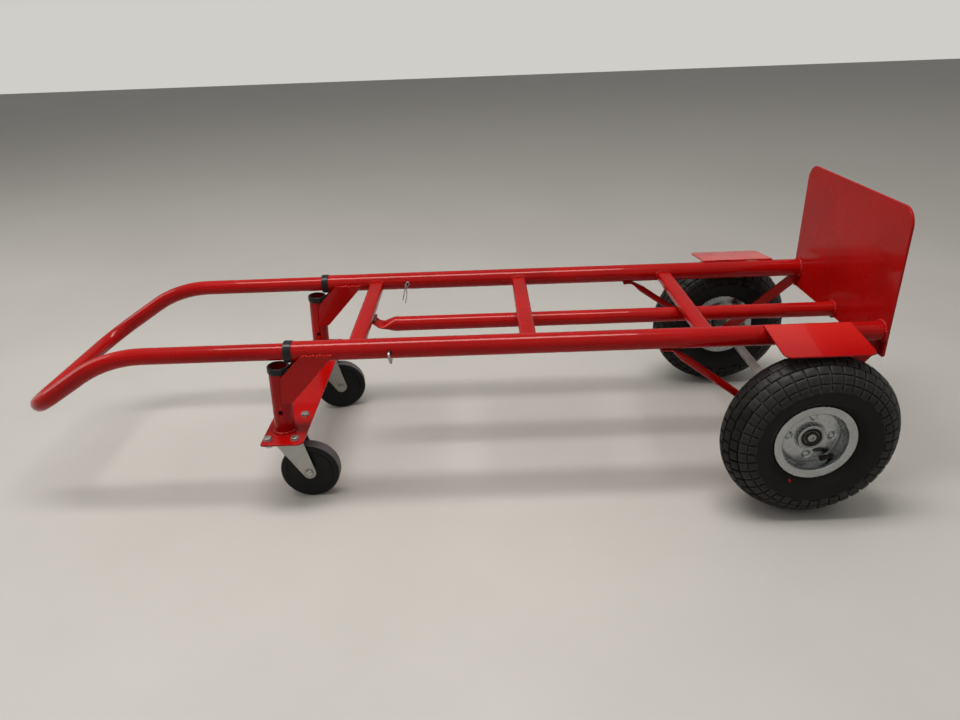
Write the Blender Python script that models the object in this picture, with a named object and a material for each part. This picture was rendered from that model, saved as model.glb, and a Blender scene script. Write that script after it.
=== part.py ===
"""Convertible two-in-one hand truck, set down as a four-wheel platform cart.

Units are metres and +Z is up. The rails run along X with the toe plate at +X and the push handle
at -X. The main axle runs along Y, left is +Y and right is -Y. The floor is z = 0, and the origin is
on the floor under the middle of the whole truck.
"""
import math

import bmesh
import bpy
from mathutils import Vector

# Clearance left between two pieces that touch or are welded together.
GAP = 0.0003

# Main wheels: 4.10/3.50-4 pneumatic tyres on two-piece pressed rims.
AXLE_X = 0.5548
AXLE_RADIUS = 0.008
AXLE_HALF_LENGTH = 0.2525
WHEEL_Y = 0.2285
TYRE_RADIUS = 0.133
TYRE_HALF_WIDTH = 0.0430
RIM_FLANGE_RADIUS = 0.0624
RIM_HALF_WIDTH = 0.0275
BEARING_RADIUS = 0.0177
BEARING_WIDTH = 0.0075
VALVE_ANGLE = math.radians(-45.0)

# Frame tubes. The two side rails are level and the centre tube hangs just below the crossbars.
RAIL_Y = 0.156
RAIL_Z = 0.2674
RAIL_RADIUS = 0.0159
RAIL_WALL = 0.0012
RAIL_START_X = -0.2407
TOE_FACE_X = 0.6743
BAR_X = (-0.1362, 0.1348, 0.4123)
BAR_WIDTH = 0.026
BAR_HEIGHT = 0.017
BAR_Z = 0.2645
BAR_WALL = 0.0015
CENTRE_RADIUS = 0.0127
CENTRE_Z = BAR_Z - BAR_HEIGHT / 2 - CENTRE_RADIUS - GAP

# Toe plate, wheel guards and the members that carry the axle.
TOE_HALF_WIDTH = 0.1735
TOE_BOTTOM_Z = 0.2305
TOE_TOP_Z = 0.460
TOE_THICKNESS = 0.004
GUARD_X = (0.4908, 0.6238)
GUARD_REACH = 0.091
GUARD_THICKNESS = 0.0025
GUARD_DROOP = math.radians(7.5)
BRACKET_Y = 0.174
BRACKET_LEAN = math.radians(8.2)
STRAP_ANGLE = math.radians(45.0)
STRAP_HALF_WIDTH = 0.0105
STRAP_TAIL = 0.022
STRAP_END_RADIUS = 0.0125
STRAP_HOLE_RADIUS = 0.0088
STRAP_THICKNESS = 0.003
STRUT_RADIUS = 0.006
STRUT_TOP_X = -0.198
STRUT_FOOT = (-0.0165, -0.0155)

# Caster end: one long base plate with a handle socket standing over each swivel caster.
BASE_X = -0.2585
BASE_WIDTH = 0.0674
BASE_HALF_LENGTH = 0.204
BASE_TOP_Z = 0.1294
BASE_THICKNESS = 0.003
SOCKET_X = -0.2629
SOCKET_LEAN = 0.048
SOCKET_LENGTH = 0.1125
CASTER_X = -0.2617
CASTER_Y = 0.150
CASTER_TRAIL = 0.029
CASTER_RADIUS = 0.049
CASTER_HALF_WIDTH = 0.0115
CASTER_YAW = {"left": 0.2, "right": 0.0}
MOUNT_PLATE_SIZE = (0.060, 0.092, 0.0025)
BOLT_SPACING = (0.043, 0.076)
BOLT_RADIUS = 0.004
BOLT_HEAD_RADIUS = 0.0072
BOLT_HEAD_HEIGHT = 0.0045
BOLT_HOLE_RADIUS = 0.0045
FORK_TOP_Z = 0.1155
FORK_THICKNESS = 0.0022
FORK_INNER = 0.0135
KINGPIN_RADIUS = 0.005
CASTER_AXLE_RADIUS = 0.004

# Push handle: a bent tube whose two legs slide into the rails through plastic collars.
HANDLE_RADIUS = 0.0132
HANDLE_WALL = 0.0012
HANDLE_INNER_X = -0.0452
HANDLE_BEND_X = -0.5210
HANDLE_BEND_ANGLE = math.radians(31.9)
HANDLE_BEND_RADIUS = 0.206
HANDLE_SLOPE_LENGTH = 0.180
HANDLE_CORNER_RADIUS = 0.0615
COLLAR_RADIUS = 0.0173
COLLAR_LENGTH = 0.013
COLLAR_BORE = 0.0137
PIN_X = -0.0802
PIN_RADIUS = 0.0022
PIN_HOLE_RADIUS = 0.0036
PIN_REACH = 0.0135
PIN_ARM = 0.015
CLIP_RADIUS = 0.0009
CLIP_TILT = math.radians(15.0)

SIDES = (("left", 1.0), ("right", -1.0))
ALONG_Y = (math.radians(-90.0), 0.0, 0.0)

PAINT = ("red_paint", (0.55, 0.012, 0.010), 0.28, 0.0)
ZINC = ("zinc_plate", (0.56, 0.57, 0.56), 0.38, 0.9)
STEEL = ("bare_steel", (0.40, 0.40, 0.39), 0.42, 1.0)
RUBBER = ("black_rubber", (0.018, 0.018, 0.019), 0.75, 0.0)
PLASTIC = ("black_plastic", (0.015, 0.015, 0.016), 0.45, 0.0)


def clear_scene():
    for item in list(bpy.data.objects):
        bpy.data.objects.remove(item, do_unlink=True)


def material(spec):
    name, colour, roughness, metallic = spec
    found = bpy.data.materials.get(name)
    if found:
        return found
    made = bpy.data.materials.new(name)
    made.use_nodes = True
    shader = made.node_tree.nodes["Principled BSDF"]
    shader.inputs["Base Color"].default_value = (*colour, 1.0)
    shader.inputs["Roughness"].default_value = roughness
    shader.inputs["Metallic"].default_value = metallic
    made.diffuse_color = (*colour, 1.0)
    return made


def finish(name, mesh, spec, location=(0, 0, 0), rotation=(0, 0, 0), parent=None):
    """Put a mesh in the scene as one named sub-part."""
    item = bpy.data.objects.new(name, mesh)
    bpy.context.scene.collection.objects.link(item)
    if not mesh.materials:
        mesh.materials.append(material(spec))
    item.location = location
    item.rotation_euler = rotation
    item.parent = parent
    return item


def empty(name, location, rotation=(0, 0, 0), parent=None):
    item = bpy.data.objects.new(name, None)
    bpy.context.scene.collection.objects.link(item)
    item.location = location
    item.rotation_euler = rotation
    item.parent = parent
    return item


def to_mesh(name, bm):
    bmesh.ops.recalc_face_normals(bm, faces=bm.faces)
    mesh = bpy.data.meshes.new(name)
    bm.to_mesh(mesh)
    bm.free()
    mesh.shade_smooth()
    mesh.set_sharp_from_angle(angle=math.radians(32.0))
    return mesh


def skin(name, loops, closed=False):
    """Join closed loops of equal length with quads. An open skin gets a cap at each end."""
    bm = bmesh.new()
    rings = [[bm.verts.new(point) for point in loop] for loop in loops]
    pairs = list(zip(rings, rings[1:]))
    if closed:
        pairs.append((rings[-1], rings[0]))
    count = len(rings[0])
    for first, second in pairs:
        for index in range(count):
            after = (index + 1) % count
            bm.faces.new((first[index], first[after], second[after], second[index]))
    if not closed:
        bm.faces.new(list(reversed(rings[0])))
        bm.faces.new(rings[-1])
    return to_mesh(name, bm)


def oval(centre, side, up, half_width, half_height, count, power=1.0):
    """A closed loop about centre. A power below 1 squares the oval's corners."""
    points = []
    for index in range(count):
        angle = 2 * math.pi * index / count
        across = math.copysign(abs(math.cos(angle)) ** power, math.cos(angle))
        along = math.copysign(abs(math.sin(angle)) ** power, math.sin(angle))
        points.append(centre + side * (half_width * across) + up * (half_height * along))
    return points


def disc_loop(height, radius, count):
    return oval(Vector((0, 0, height)), Vector((1, 0, 0)), Vector((0, 1, 0)), radius, radius, count)


def stack(name, profile, count):
    """A solid turned about Z from (height, radius) steps, with a flat cap at each end."""
    return skin(name, [disc_loop(height, radius, count) for height, radius in profile])


def pipe(name, start, end, outer, inner, count):
    """A round tube along Z, open at both ends."""
    steps = ((start, outer), (end, outer), (end, inner), (start, inner))
    return skin(name, [disc_loop(height, radius, count) for height, radius in steps], closed=True)


def lathe(name, profile, count):
    """Turn a closed (radius, height) outline about Z."""
    loops = []
    for index in range(count):
        angle = 2 * math.pi * index / count
        turned = [
            Vector((radius * math.cos(angle), radius * math.sin(angle), height))
            for radius, height in profile
        ]
        loops.append(turned)
    return skin(name, loops, closed=True)


def arc(centre, radius, start, end, steps):
    """Points on an arc in the plane, from the start angle to the end angle."""
    points = []
    for index in range(steps + 1):
        angle = start + (end - start) * index / steps
        points.append((centre[0] + radius * math.cos(angle), centre[1] + radius * math.sin(angle)))
    return points


def rounded(corners, radii, steps=4):
    """Round each corner of an outline by its own radius."""
    outline = []
    count = len(corners)
    for index, radius in enumerate(radii):
        corner = Vector(corners[index])
        if radius == 0:
            outline.append(tuple(corner))
            continue
        before = (Vector(corners[index - 1]) - corner).normalized()
        after = (Vector(corners[(index + 1) % count]) - corner).normalized()
        half = before.angle(after) / 2
        reach = radius / math.tan(half)
        start = corner + before * reach
        end = corner + after * reach
        centre = corner + (before + after).normalized() * (radius / math.sin(half))
        for step in range(steps + 1):
            blend = start.lerp(end, step / steps) - centre
            outline.append(tuple(centre + blend.normalized() * radius))
    return outline


def slab(name, outline, thickness):
    """A flat plate: the XY outline, extruded up Z by its thickness."""
    lower = [Vector((x, y, 0)) for x, y in outline]
    upper = [Vector((x, y, thickness)) for x, y in outline]
    return skin(name, [lower, upper])


def sweep_loops(path, radius, count):
    """Loops carried along a path without twisting."""
    loops = []
    last = (path[1] - path[0]).normalized()
    side = Vector((1, 0, 0)) if abs(last.y) > 0.9 else Vector((0, 1, 0))
    for index, point in enumerate(path):
        ahead = path[min(index + 1, len(path) - 1)]
        behind = path[max(index - 1, 0)]
        tangent = (ahead - behind).normalized()
        side = last.rotation_difference(tangent) @ side
        side = (side - tangent * side.dot(tangent)).normalized()
        last = tangent
        loops.append(oval(point, side, tangent.cross(side), radius, radius, count))
    return loops


def cutter(name, mesh, location=(0, 0, 0), rotation=(0, 0, 0), parent=None):
    """A tool shape for Boolean modifiers, which is not part of the truck."""
    item = finish(name, mesh, STEEL, location, rotation, parent)
    item.hide_render = True
    item.display_type = "WIRE"
    return item


def combine(target, tool, operation="DIFFERENCE"):
    change = target.modifiers.new(operation.lower(), "BOOLEAN")
    change.operation = operation
    change.solver = "EXACT"
    change.object = tool


def build_rails():
    for label, sign in SIDES:
        length = TOE_FACE_X - GAP - RAIL_START_X
        mesh = pipe("side_rail", 0, length, RAIL_RADIUS, RAIL_RADIUS - RAIL_WALL, 24)
        place = (RAIL_START_X, sign * RAIL_Y, RAIL_Z)
        rail = finish(f"side_rail_{label}", mesh, PAINT, place, (0, math.radians(90), 0))
        drill = stack("pin_drill", ((-0.03, PIN_HOLE_RADIUS), (0.03, PIN_HOLE_RADIUS)), 12)
        tool = cutter(f"pin_drill_{label}", drill, (PIN_X, sign * RAIL_Y, RAIL_Z), ALONG_Y)
        combine(rail, tool)


def build_collars():
    """Plastic end rings: a sleeve over the rail with a lip that guides the handle."""
    outline = (
        (COLLAR_BORE, 0),
        (COLLAR_RADIUS - 0.001, 0),
        (COLLAR_RADIUS, 0.001),
        (COLLAR_RADIUS, COLLAR_LENGTH),
        (RAIL_RADIUS + GAP, COLLAR_LENGTH),
        (RAIL_RADIUS + GAP, 0.0023 - GAP),
        (COLLAR_BORE, 0.0023 - GAP),
    )
    for label, sign in SIDES:
        mesh = lathe("rail_collar", outline, 24)
        place = (RAIL_START_X - 0.0023, sign * RAIL_Y, RAIL_Z)
        finish(f"rail_collar_{label}", mesh, PLASTIC, place, (0, math.radians(90), 0))


def bar_loop(sign, shrink):
    """One end of a crossbar, coped to the round side of the rail."""
    centre = Vector((0, 0, 0))
    half_width = BAR_WIDTH / 2 - shrink
    half_height = BAR_HEIGHT / 2 - shrink
    loop = oval(centre, Vector((1, 0, 0)), Vector((0, 0, 1)), half_width, half_height, 20, 0.6)
    reach = RAIL_RADIUS + GAP
    for point in loop:
        height = point.z + BAR_Z - RAIL_Z
        point.y = sign * (RAIL_Y - math.sqrt(reach ** 2 - height ** 2))
    return loop


def build_crossbars():
    for label, place_x in zip(("upper", "middle", "lower"), BAR_X):
        ends = (bar_loop(-1, 0), bar_loop(1, 0), bar_loop(1, BAR_WALL), bar_loop(-1, BAR_WALL))
        mesh = skin("crossbar", ends, closed=True)
        finish(f"crossbar_{label}", mesh, PAINT, (place_x, 0, BAR_Z))


def build_centre_tube():
    """Round tube from the toe plate, pressed flat and turned up under the upper crossbar."""
    side = Vector((0, 1, 0))
    up = Vector((0, 0, 1))
    inner = CENTRE_RADIUS - RAIL_WALL
    start = TOE_FACE_X - GAP
    tab_x = BAR_X[0] + 0.001
    tab_z = BAR_Z - BAR_HEIGHT / 2 - GAP - 0.0024
    sections = (
        (-0.0902, CENTRE_Z, inner, inner),
        (start, CENTRE_Z, inner, inner),
        (start, CENTRE_Z, CENTRE_RADIUS, CENTRE_RADIUS),
        (-0.0892, CENTRE_Z, CENTRE_RADIUS, CENTRE_RADIUS),
        (-0.1000, CENTRE_Z - 0.0005, 0.0152, 0.0088),
        (-0.1090, CENTRE_Z - 0.0008, 0.0172, 0.0045),
        (-0.1170, CENTRE_Z + 0.0012, 0.0180, 0.0023),
        (-0.1270, tab_z - 0.0015, 0.0180, 0.0021),
        (tab_x, tab_z, 0.0175, 0.0021),
    )
    loops = [oval(Vector((x, 0, z)), side, up, width, height, 20) for x, z, width, height in sections]
    finish("center_tube", skin("center_tube", loops), PAINT)


def build_toe_plate():
    corners = (
        (-TOE_HALF_WIDTH, TOE_BOTTOM_Z),
        (TOE_HALF_WIDTH, TOE_BOTTOM_Z),
        (TOE_HALF_WIDTH, TOE_TOP_Z),
        (-TOE_HALF_WIDTH, TOE_TOP_Z),
    )
    outline = rounded(corners, (0.004, 0.004, 0.028, 0.028), 6)
    mesh = slab("toe_plate", outline, TOE_THICKNESS)
    turn = (math.radians(90), 0, math.radians(90))
    finish("toe_plate", mesh, PAINT, (TOE_FACE_X, 0, 0), turn)


def build_wheel_guards():
    """Flat guards welded along the top of each rail, drooping a little towards the outside."""
    length = GUARD_X[1] - GUARD_X[0]
    inner = 0.001
    outer = inner + GUARD_REACH
    for label, sign in SIDES:
        corners = ((0, inner), (length, inner), (length, outer), (0, outer))
        outline = rounded(corners, (0, 0, 0.012, 0.012))
        mesh = slab("wheel_guard", [(x, sign * y) for x, y in outline], GUARD_THICKNESS)
        lift = RAIL_RADIUS + GAP
        tangent_y = sign * (RAIL_Y + lift * math.sin(GUARD_DROOP))
        tangent_z = RAIL_Z + lift * math.cos(GUARD_DROOP)
        turn = (-sign * GUARD_DROOP, 0, 0)
        finish(f"wheel_guard_{label}", mesh, PAINT, (GUARD_X[0], tangent_y, tangent_z), turn)


def bracket_frame(label, sign):
    """The tilted frame of one side's axle bracket, with its origin at the axle."""
    place = (AXLE_X, sign * BRACKET_Y, TYRE_RADIUS)
    return empty(f"axle_bracket_{label}", place, (sign * BRACKET_LEAN, 0, 0))


def bracket_top():
    """Height of the rail's underside in the bracket's tilted frame."""
    rise = (RAIL_Z - TYRE_RADIUS) * math.cos(BRACKET_LEAN)
    rise += (BRACKET_Y - RAIL_Y) * math.sin(BRACKET_LEAN)
    return rise - RAIL_RADIUS - GAP


def strap_loops(height):
    """Outline of a strap and of its axle hole at one height, with matching point counts."""
    along = Vector((math.cos(STRAP_ANGLE), math.sin(STRAP_ANGLE)))
    across = Vector((-along.y, along.x))
    limit_x = TOE_FACE_X - GAP - AXLE_X
    limit_z = bracket_top()
    lower = -STRAP_HALF_WIDTH * across
    upper = STRAP_HALF_WIDTH * across
    meet_plate = lower + along * ((limit_x - lower.x) / along.x)
    meet_rail = upper + along * ((limit_z - upper.y) / along.y)
    start = STRAP_ANGLE + math.radians(90)
    outline = arc(-STRAP_TAIL * along, STRAP_END_RADIUS, start, start + math.pi, 8)
    outline += [along * 0.014 - across * STRAP_END_RADIUS, along * 0.026 + lower, meet_plate]
    outline += [(limit_x, limit_z), meet_rail, along * 0.026 + upper]
    outline += [along * 0.014 + across * STRAP_END_RADIUS]
    hole = arc((0, 0), STRAP_HOLE_RADIUS, start, start + 2 * math.pi, len(outline))[:-1]
    return [[Vector((x, y, height)) for x, y in points] for points in (outline, hole)]


def strut_sections():
    """Centre, direction, half width and half height of a strut, from its top tab to its foot."""
    top_z = bracket_top() - 0.0016
    top = Vector((STRUT_TOP_X, 0, top_z - 0.002))
    foot = Vector((STRUT_FOOT[0], 0, STRUT_FOOT[1]))
    slope = (foot - top).normalized()
    level = Vector((1, 0, 0))
    middle = (slope + level).normalized()
    return (
        (Vector((STRUT_TOP_X - 0.019, 0, top_z)), level, 0.0085, 0.0014),
        (Vector((STRUT_TOP_X - 0.004, 0, top_z)), middle, 0.0083, 0.0014),
        (top + slope * 0.014, slope, 0.0068, 0.0046),
        (top + slope * 0.024, slope, STRUT_RADIUS, STRUT_RADIUS),
        (foot - slope * 0.042, slope, STRUT_RADIUS, STRUT_RADIUS),
        (foot - slope * 0.026, slope, 0.0034, 0.0076),
        (foot - slope * 0.016, slope, 0.0014, 0.0088),
        (foot + slope * 0.001, slope, 0.0014, 0.0088),
        (foot + slope * 0.006, slope, 0.0014, 0.0055),
    )


def build_axle_brackets():
    """On each side a flat strap up to the toe plate and a round strut back along the rail."""
    offset = STRAP_THICKNESS / 2 + GAP + 0.0014
    for label, sign in SIDES:
        frame = bracket_frame(label, sign)
        outline_low, hole_low = strap_loops(0)
        outline_top, hole_top = strap_loops(STRAP_THICKNESS)
        mesh = skin("axle_strap", (outline_low, outline_top, hole_top, hole_low), closed=True)
        place = (0, STRAP_THICKNESS / 2, 0)
        turn = (math.radians(90), 0, 0)
        finish(f"axle_strap_{label}", mesh, PAINT, place, turn, frame)
        loops = []
        for centre, along, half_width, half_height in strut_sections():
            up = Vector((-along.z, 0, along.x))
            loops.append(oval(centre, Vector((0, 1, 0)), up, half_width, half_height, 12))
        mesh = skin("axle_strut", loops)
        finish(f"axle_strut_{label}", mesh, PAINT, (0, -sign * offset, 0), parent=frame)


def build_axle():
    end = AXLE_HALF_LENGTH
    chamfer = 0.0015
    profile = (
        (-end, AXLE_RADIUS - chamfer),
        (-end + chamfer, AXLE_RADIUS),
        (end - chamfer, AXLE_RADIUS),
        (end, AXLE_RADIUS - chamfer),
    )
    mesh = stack("main_axle", profile, 16)
    finish("main_axle", mesh, STEEL, (AXLE_X, 0, TYRE_RADIUS), ALONG_Y)


def build_axle_spacers():
    """Sleeves that hold each wheel out from its strap."""
    start = BRACKET_Y + 0.0036
    end = WHEEL_Y - 0.011 - GAP
    for label, sign in SIDES:
        mesh = pipe("axle_spacer", start, end, 0.0108, AXLE_RADIUS + GAP, 16)
        turn = (-sign * math.radians(90), 0, 0)
        finish(f"axle_spacer_{label}", mesh, ZINC, (AXLE_X, 0, TYRE_RADIUS), turn)


def tyre_outline():
    """U-shaped tyre section, from the outboard bead round the tread to the inboard bead."""
    outside = (
        (0.0507, 0.0246),
        (0.0630, 0.0250),
        (0.0662, 0.0292),
        (0.0770, 0.0395),
        (0.0930, TYRE_HALF_WIDTH),
        (0.1080, 0.0395),
        (0.1200, 0.0300),
        (0.1290, 0.0165),
        (TYRE_RADIUS, 0.0060),
    )
    inside = ((0.0507, 0.0150), (0.0650, 0.0215), (0.0770, 0.0335), (0.0930, 0.0370), (0.1160, 0.0250))
    outer = [*outside, *[(radius, -height) for radius, height in reversed(outside)]]
    inner = [*[(radius, -height) for radius, height in inside], *reversed(inside)]
    return outer + inner


def rim_outline(disc, flange):
    """Pressed half rim from the disc's face to the flange. Both heights carry their sign."""
    out = math.copysign(1.0, flange)
    sheet = 0.0018 * out
    boss = disc + 0.0065 * out
    return (
        (BEARING_RADIUS + GAP, disc - sheet),
        (0.0445, disc - sheet),
        (0.0474, disc + 0.002 * out),
        (0.0500, flange - 0.0040 * out),
        (0.0510, flange - sheet),
        (RIM_FLANGE_RADIUS, flange - sheet),
        (RIM_FLANGE_RADIUS - 0.0010, flange),
        (0.0492, flange),
        (0.0455, disc + 0.0025 * out),
        (0.0432, disc),
        (0.0225, disc),
        (0.0205, boss),
        (BEARING_RADIUS + GAP, boss),
    )


def build_main_wheels():
    for label, sign in SIDES:
        hub = empty(
            f"main_wheel_axis_{label}",
            (AXLE_X, sign * WHEEL_Y, TYRE_RADIUS),
            (-sign * math.radians(90), 0, 0),
        )
        finish(f"tire_{label}", lathe("tire", tyre_outline(), 36), RUBBER, parent=hub)
        outer = lathe("rim_outer", rim_outline(0.0060, RIM_HALF_WIDTH), 24)
        finish(f"rim_outer_{label}", outer, ZINC, parent=hub)
        inner = lathe("rim_inner", rim_outline(0.0021, -RIM_HALF_WIDTH), 24)
        finish(f"rim_inner_{label}", inner, ZINC, parent=hub)
        for place, start in (("outer", 0.0046), ("inner", -0.0110)):
            end = start + BEARING_WIDTH
            ring = pipe("wheel_bearing", start, end, BEARING_RADIUS, AXLE_RADIUS + GAP, 20)
            finish(f"bearing_{place}_{label}", ring, STEEL, parent=hub)
        build_valve(label, sign, hub)


def build_valve(label, sign, hub):
    """Rubber valve stem, standing off the dished wall of the outer rim half."""
    turn = empty(f"valve_angle_{label}", (0, 0, 0), (0, 0, -sign * VALVE_ANGLE), hub)
    profile = ((0, 0.0052), (0.003, 0.0050), (0.0055, 0.0036), (0.016, 0.0036), (0.0175, 0.0028))
    mesh = stack("valve_stem", profile, 10)
    finish(f"valve_stem_{label}", mesh, RUBBER, (0.0432, 0, 0.0145), (0, math.radians(-50), 0), turn)


def build_base_plate():
    half_x = BASE_WIDTH / 2
    corners = (
        (-half_x, -BASE_HALF_LENGTH),
        (half_x, -BASE_HALF_LENGTH),
        (half_x, BASE_HALF_LENGTH),
        (-half_x, BASE_HALF_LENGTH),
    )
    outline = rounded(corners, (0.004, 0.011, 0.011, 0.004))
    mesh = slab("caster_base_plate", outline, BASE_THICKNESS)
    place = (BASE_X, 0, BASE_TOP_Z - BASE_THICKNESS)
    return finish("caster_base_plate", mesh, PAINT, place)


def build_sockets():
    """Leaning tubes that take the handle when the truck is a platform cart, with plastic caps."""
    inner = RAIL_RADIUS - RAIL_WALL
    cap = (
        (COLLAR_BORE, SOCKET_LENGTH + 0.0026),
        (COLLAR_RADIUS - 0.001, SOCKET_LENGTH + 0.0026),
        (COLLAR_RADIUS + 0.0003, SOCKET_LENGTH + 0.0012),
        (COLLAR_RADIUS, SOCKET_LENGTH - 0.0080),
        (RAIL_RADIUS + GAP, SOCKET_LENGTH - 0.0080),
        (RAIL_RADIUS + GAP, SOCKET_LENGTH + GAP),
        (COLLAR_BORE, SOCKET_LENGTH + GAP),
    )
    for label, sign in SIDES:
        foot = (SOCKET_X, sign * RAIL_Y, BASE_TOP_Z)
        axis = empty(f"socket_axis_{label}", foot, (0, SOCKET_LEAN, 0))
        tube = pipe("handle_socket", 0.0011, SOCKET_LENGTH, RAIL_RADIUS, inner, 24)
        socket = finish(f"handle_socket_{label}", tube, PAINT, parent=axis)
        drill = stack("socket_drill", ((-0.03, PIN_HOLE_RADIUS), (0.03, PIN_HOLE_RADIUS)), 12)
        tool = cutter(f"socket_drill_{label}", drill, (0, 0, 0.0388), ALONG_Y, axis)
        combine(socket, tool)
        finish(f"socket_cap_{label}", lathe("socket_cap", cap, 24), PLASTIC, parent=axis)


def build_gussets():
    """Pairs of plates that clasp each socket and reach up the sides of the rail."""
    corners = (
        (-0.2172, 0.2645),
        (-0.2507, 0.2310),
        (-0.2562, 0.1850),
        (-0.2377, 0.1880),
        (-0.1662, 0.2645),
    )
    thickness = 0.0025
    near = RAIL_RADIUS + GAP
    for label, sign in SIDES:
        for place, offset in (("outer", sign * near), ("inner", -sign * (near + thickness))):
            base = sign * RAIL_Y + offset
            face = base + thickness if sign > 0 else base
            mesh = slab("socket_gusset", corners, thickness)
            turn = (math.radians(90), 0, 0)
            finish(f"socket_gusset_{place}_{label}", mesh, PAINT, (0, face, 0), turn)


def bolt_places():
    half_x, half_y = BOLT_SPACING[0] / 2, BOLT_SPACING[1] / 2
    return [(x, y) for x in (-half_x, half_x) for y in (-half_y, half_y)]


def drill_pattern(name):
    """Four bolt-hole cylinders in one tool."""
    bm = bmesh.new()
    for x, y in bolt_places():
        made = bmesh.ops.create_cone(
            bm,
            cap_ends=True,
            segments=12,
            radius1=BOLT_HOLE_RADIUS,
            radius2=BOLT_HOLE_RADIUS,
            depth=0.03,
        )
        bmesh.ops.translate(bm, verts=made["verts"], vec=(x, y, 0))
    return to_mesh(name, bm)


def mount_bolt_mesh():
    """Hex bolt through the base plate and the caster's plate, with its nut below."""
    grip = BASE_THICKNESS + MOUNT_PLATE_SIZE[2] + 3 * GAP
    head = BOLT_HEAD_RADIUS
    profile = (
        (-grip - 0.0075, BOLT_RADIUS),
        (-grip - 0.0062, BOLT_RADIUS),
        (-grip - 0.0062, head),
        (-grip, head),
        (-grip, BOLT_RADIUS),
        (GAP, BOLT_RADIUS),
        (GAP, head),
        (GAP + BOLT_HEAD_HEIGHT - 0.001, head),
        (GAP + BOLT_HEAD_HEIGHT, head - 0.0012),
    )
    return stack("mount_bolt", profile, 6)


def build_mount_plate(label, frame):
    """Caster top plate with its ball race and riveted kingpin."""
    size_x, size_y, thickness = MOUNT_PLATE_SIZE
    top = BASE_TOP_Z - BASE_THICKNESS - GAP
    corners = [(-size_x / 2, -size_y / 2), (size_x / 2, -size_y / 2)]
    corners += [(size_x / 2, size_y / 2), (-size_x / 2, size_y / 2)]
    outline = rounded(corners, (0.006,) * 4, 3)
    mesh = slab("caster_mount_plate", outline, thickness)
    plate = finish(f"caster_mount_plate_{label}", mesh, ZINC, (0, 0, top - thickness), parent=frame)
    crown_bottom = FORK_TOP_Z - FORK_THICKNESS
    profile = (
        (crown_bottom - GAP - 0.0035, 0.0075),
        (crown_bottom - GAP, 0.0085),
        (crown_bottom - GAP, KINGPIN_RADIUS),
        (FORK_TOP_Z + GAP, KINGPIN_RADIUS),
        (FORK_TOP_Z + GAP, 0.0200),
        (FORK_TOP_Z + 0.0030, 0.0225),
        (top - thickness / 2, 0.0225),
    )
    race = cutter(f"caster_race_{label}", stack("caster_race", profile, 20), parent=frame)
    combine(plate, race, "UNION")
    return plate


def fork_outline():
    """Side view of the fork's legs, from the wide crown down to the round end at the wheel."""
    hub = (CASTER_TRAIL, CASTER_RADIUS)
    lower = arc(hub, 0.0112, math.radians(222), math.radians(372), 8)
    return [(-0.0215, FORK_TOP_Z), (-0.0215, FORK_TOP_Z - 0.006), *lower, (0.0245, FORK_TOP_Z)]


def build_fork(label, swivel):
    """Bent plate fork: an arch cut to the side view, with its two holes."""
    outer = FORK_INNER + FORK_THICKNESS
    low = CASTER_RADIUS - 0.014
    crown = FORK_TOP_Z - FORK_THICKNESS
    bend = 0.003
    arch = (
        (-outer, low),
        (-outer, FORK_TOP_Z - bend),
        (-outer + bend, FORK_TOP_Z),
        (outer - bend, FORK_TOP_Z),
        (outer, FORK_TOP_Z - bend),
        (outer, low),
        (FORK_INNER, low),
        (FORK_INNER, crown - 0.001),
        (FORK_INNER - 0.001, crown),
        (-FORK_INNER + 0.001, crown),
        (-FORK_INNER, crown - 0.001),
        (-FORK_INNER, low),
    )
    loops = [[Vector((x, y, z)) for y, z in arch] for x in (-0.03, 0.05)]
    fork = finish(f"caster_fork_{label}", skin("caster_fork", loops), ZINC, parent=swivel)
    side = slab("fork_side", fork_outline(), 0.06)
    side_tool = cutter(f"fork_side_{label}", side, (0, 0.03, 0), (math.radians(90), 0, 0), swivel)
    combine(fork, side_tool, "INTERSECT")
    hole = KINGPIN_RADIUS + GAP
    king = stack("king_drill", ((crown - 0.01, hole), (FORK_TOP_Z + 0.01, hole)), 16)
    combine(fork, cutter(f"king_drill_{label}", king, parent=swivel))
    hole = CASTER_AXLE_RADIUS + GAP
    bore = stack("fork_drill", ((-0.03, hole), (0.03, hole)), 12)
    place = (CASTER_TRAIL, 0, CASTER_RADIUS)
    combine(fork, cutter(f"fork_drill_{label}", bore, place, ALONG_Y, swivel))


def caster_wheel_outline():
    half = CASTER_HALF_WIDTH
    bore = CASTER_AXLE_RADIUS + GAP
    return (
        (bore, -half - 0.0012),
        (0.0110, -half - 0.0012),
        (0.0125, -half + 0.0008),
        (0.0380, -half + 0.0008),
        (0.0400, -half),
        (CASTER_RADIUS - 0.0025, -half),
        (CASTER_RADIUS, -half + 0.0030),
        (CASTER_RADIUS, half - 0.0030),
        (CASTER_RADIUS - 0.0025, half),
        (0.0400, half),
        (0.0380, half - 0.0008),
        (0.0125, half - 0.0008),
        (0.0110, half + 0.0012),
        (bore, half + 0.0012),
    )


def caster_axle_mesh():
    """Bolt through the fork and the wheel, head outboard and nut inboard."""
    leg = FORK_INNER + FORK_THICKNESS + GAP
    profile = (
        (-leg - 0.0068, CASTER_AXLE_RADIUS - 0.0005),
        (-leg - 0.0055, CASTER_AXLE_RADIUS),
        (-leg - 0.0050, 0.0068),
        (-leg, 0.0068),
        (-leg, CASTER_AXLE_RADIUS),
        (leg, CASTER_AXLE_RADIUS),
        (leg, 0.0070),
        (leg + 0.0025, 0.0066),
        (leg + 0.0042, 0.0040),
    )
    return stack("caster_axle", profile, 10)


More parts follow.
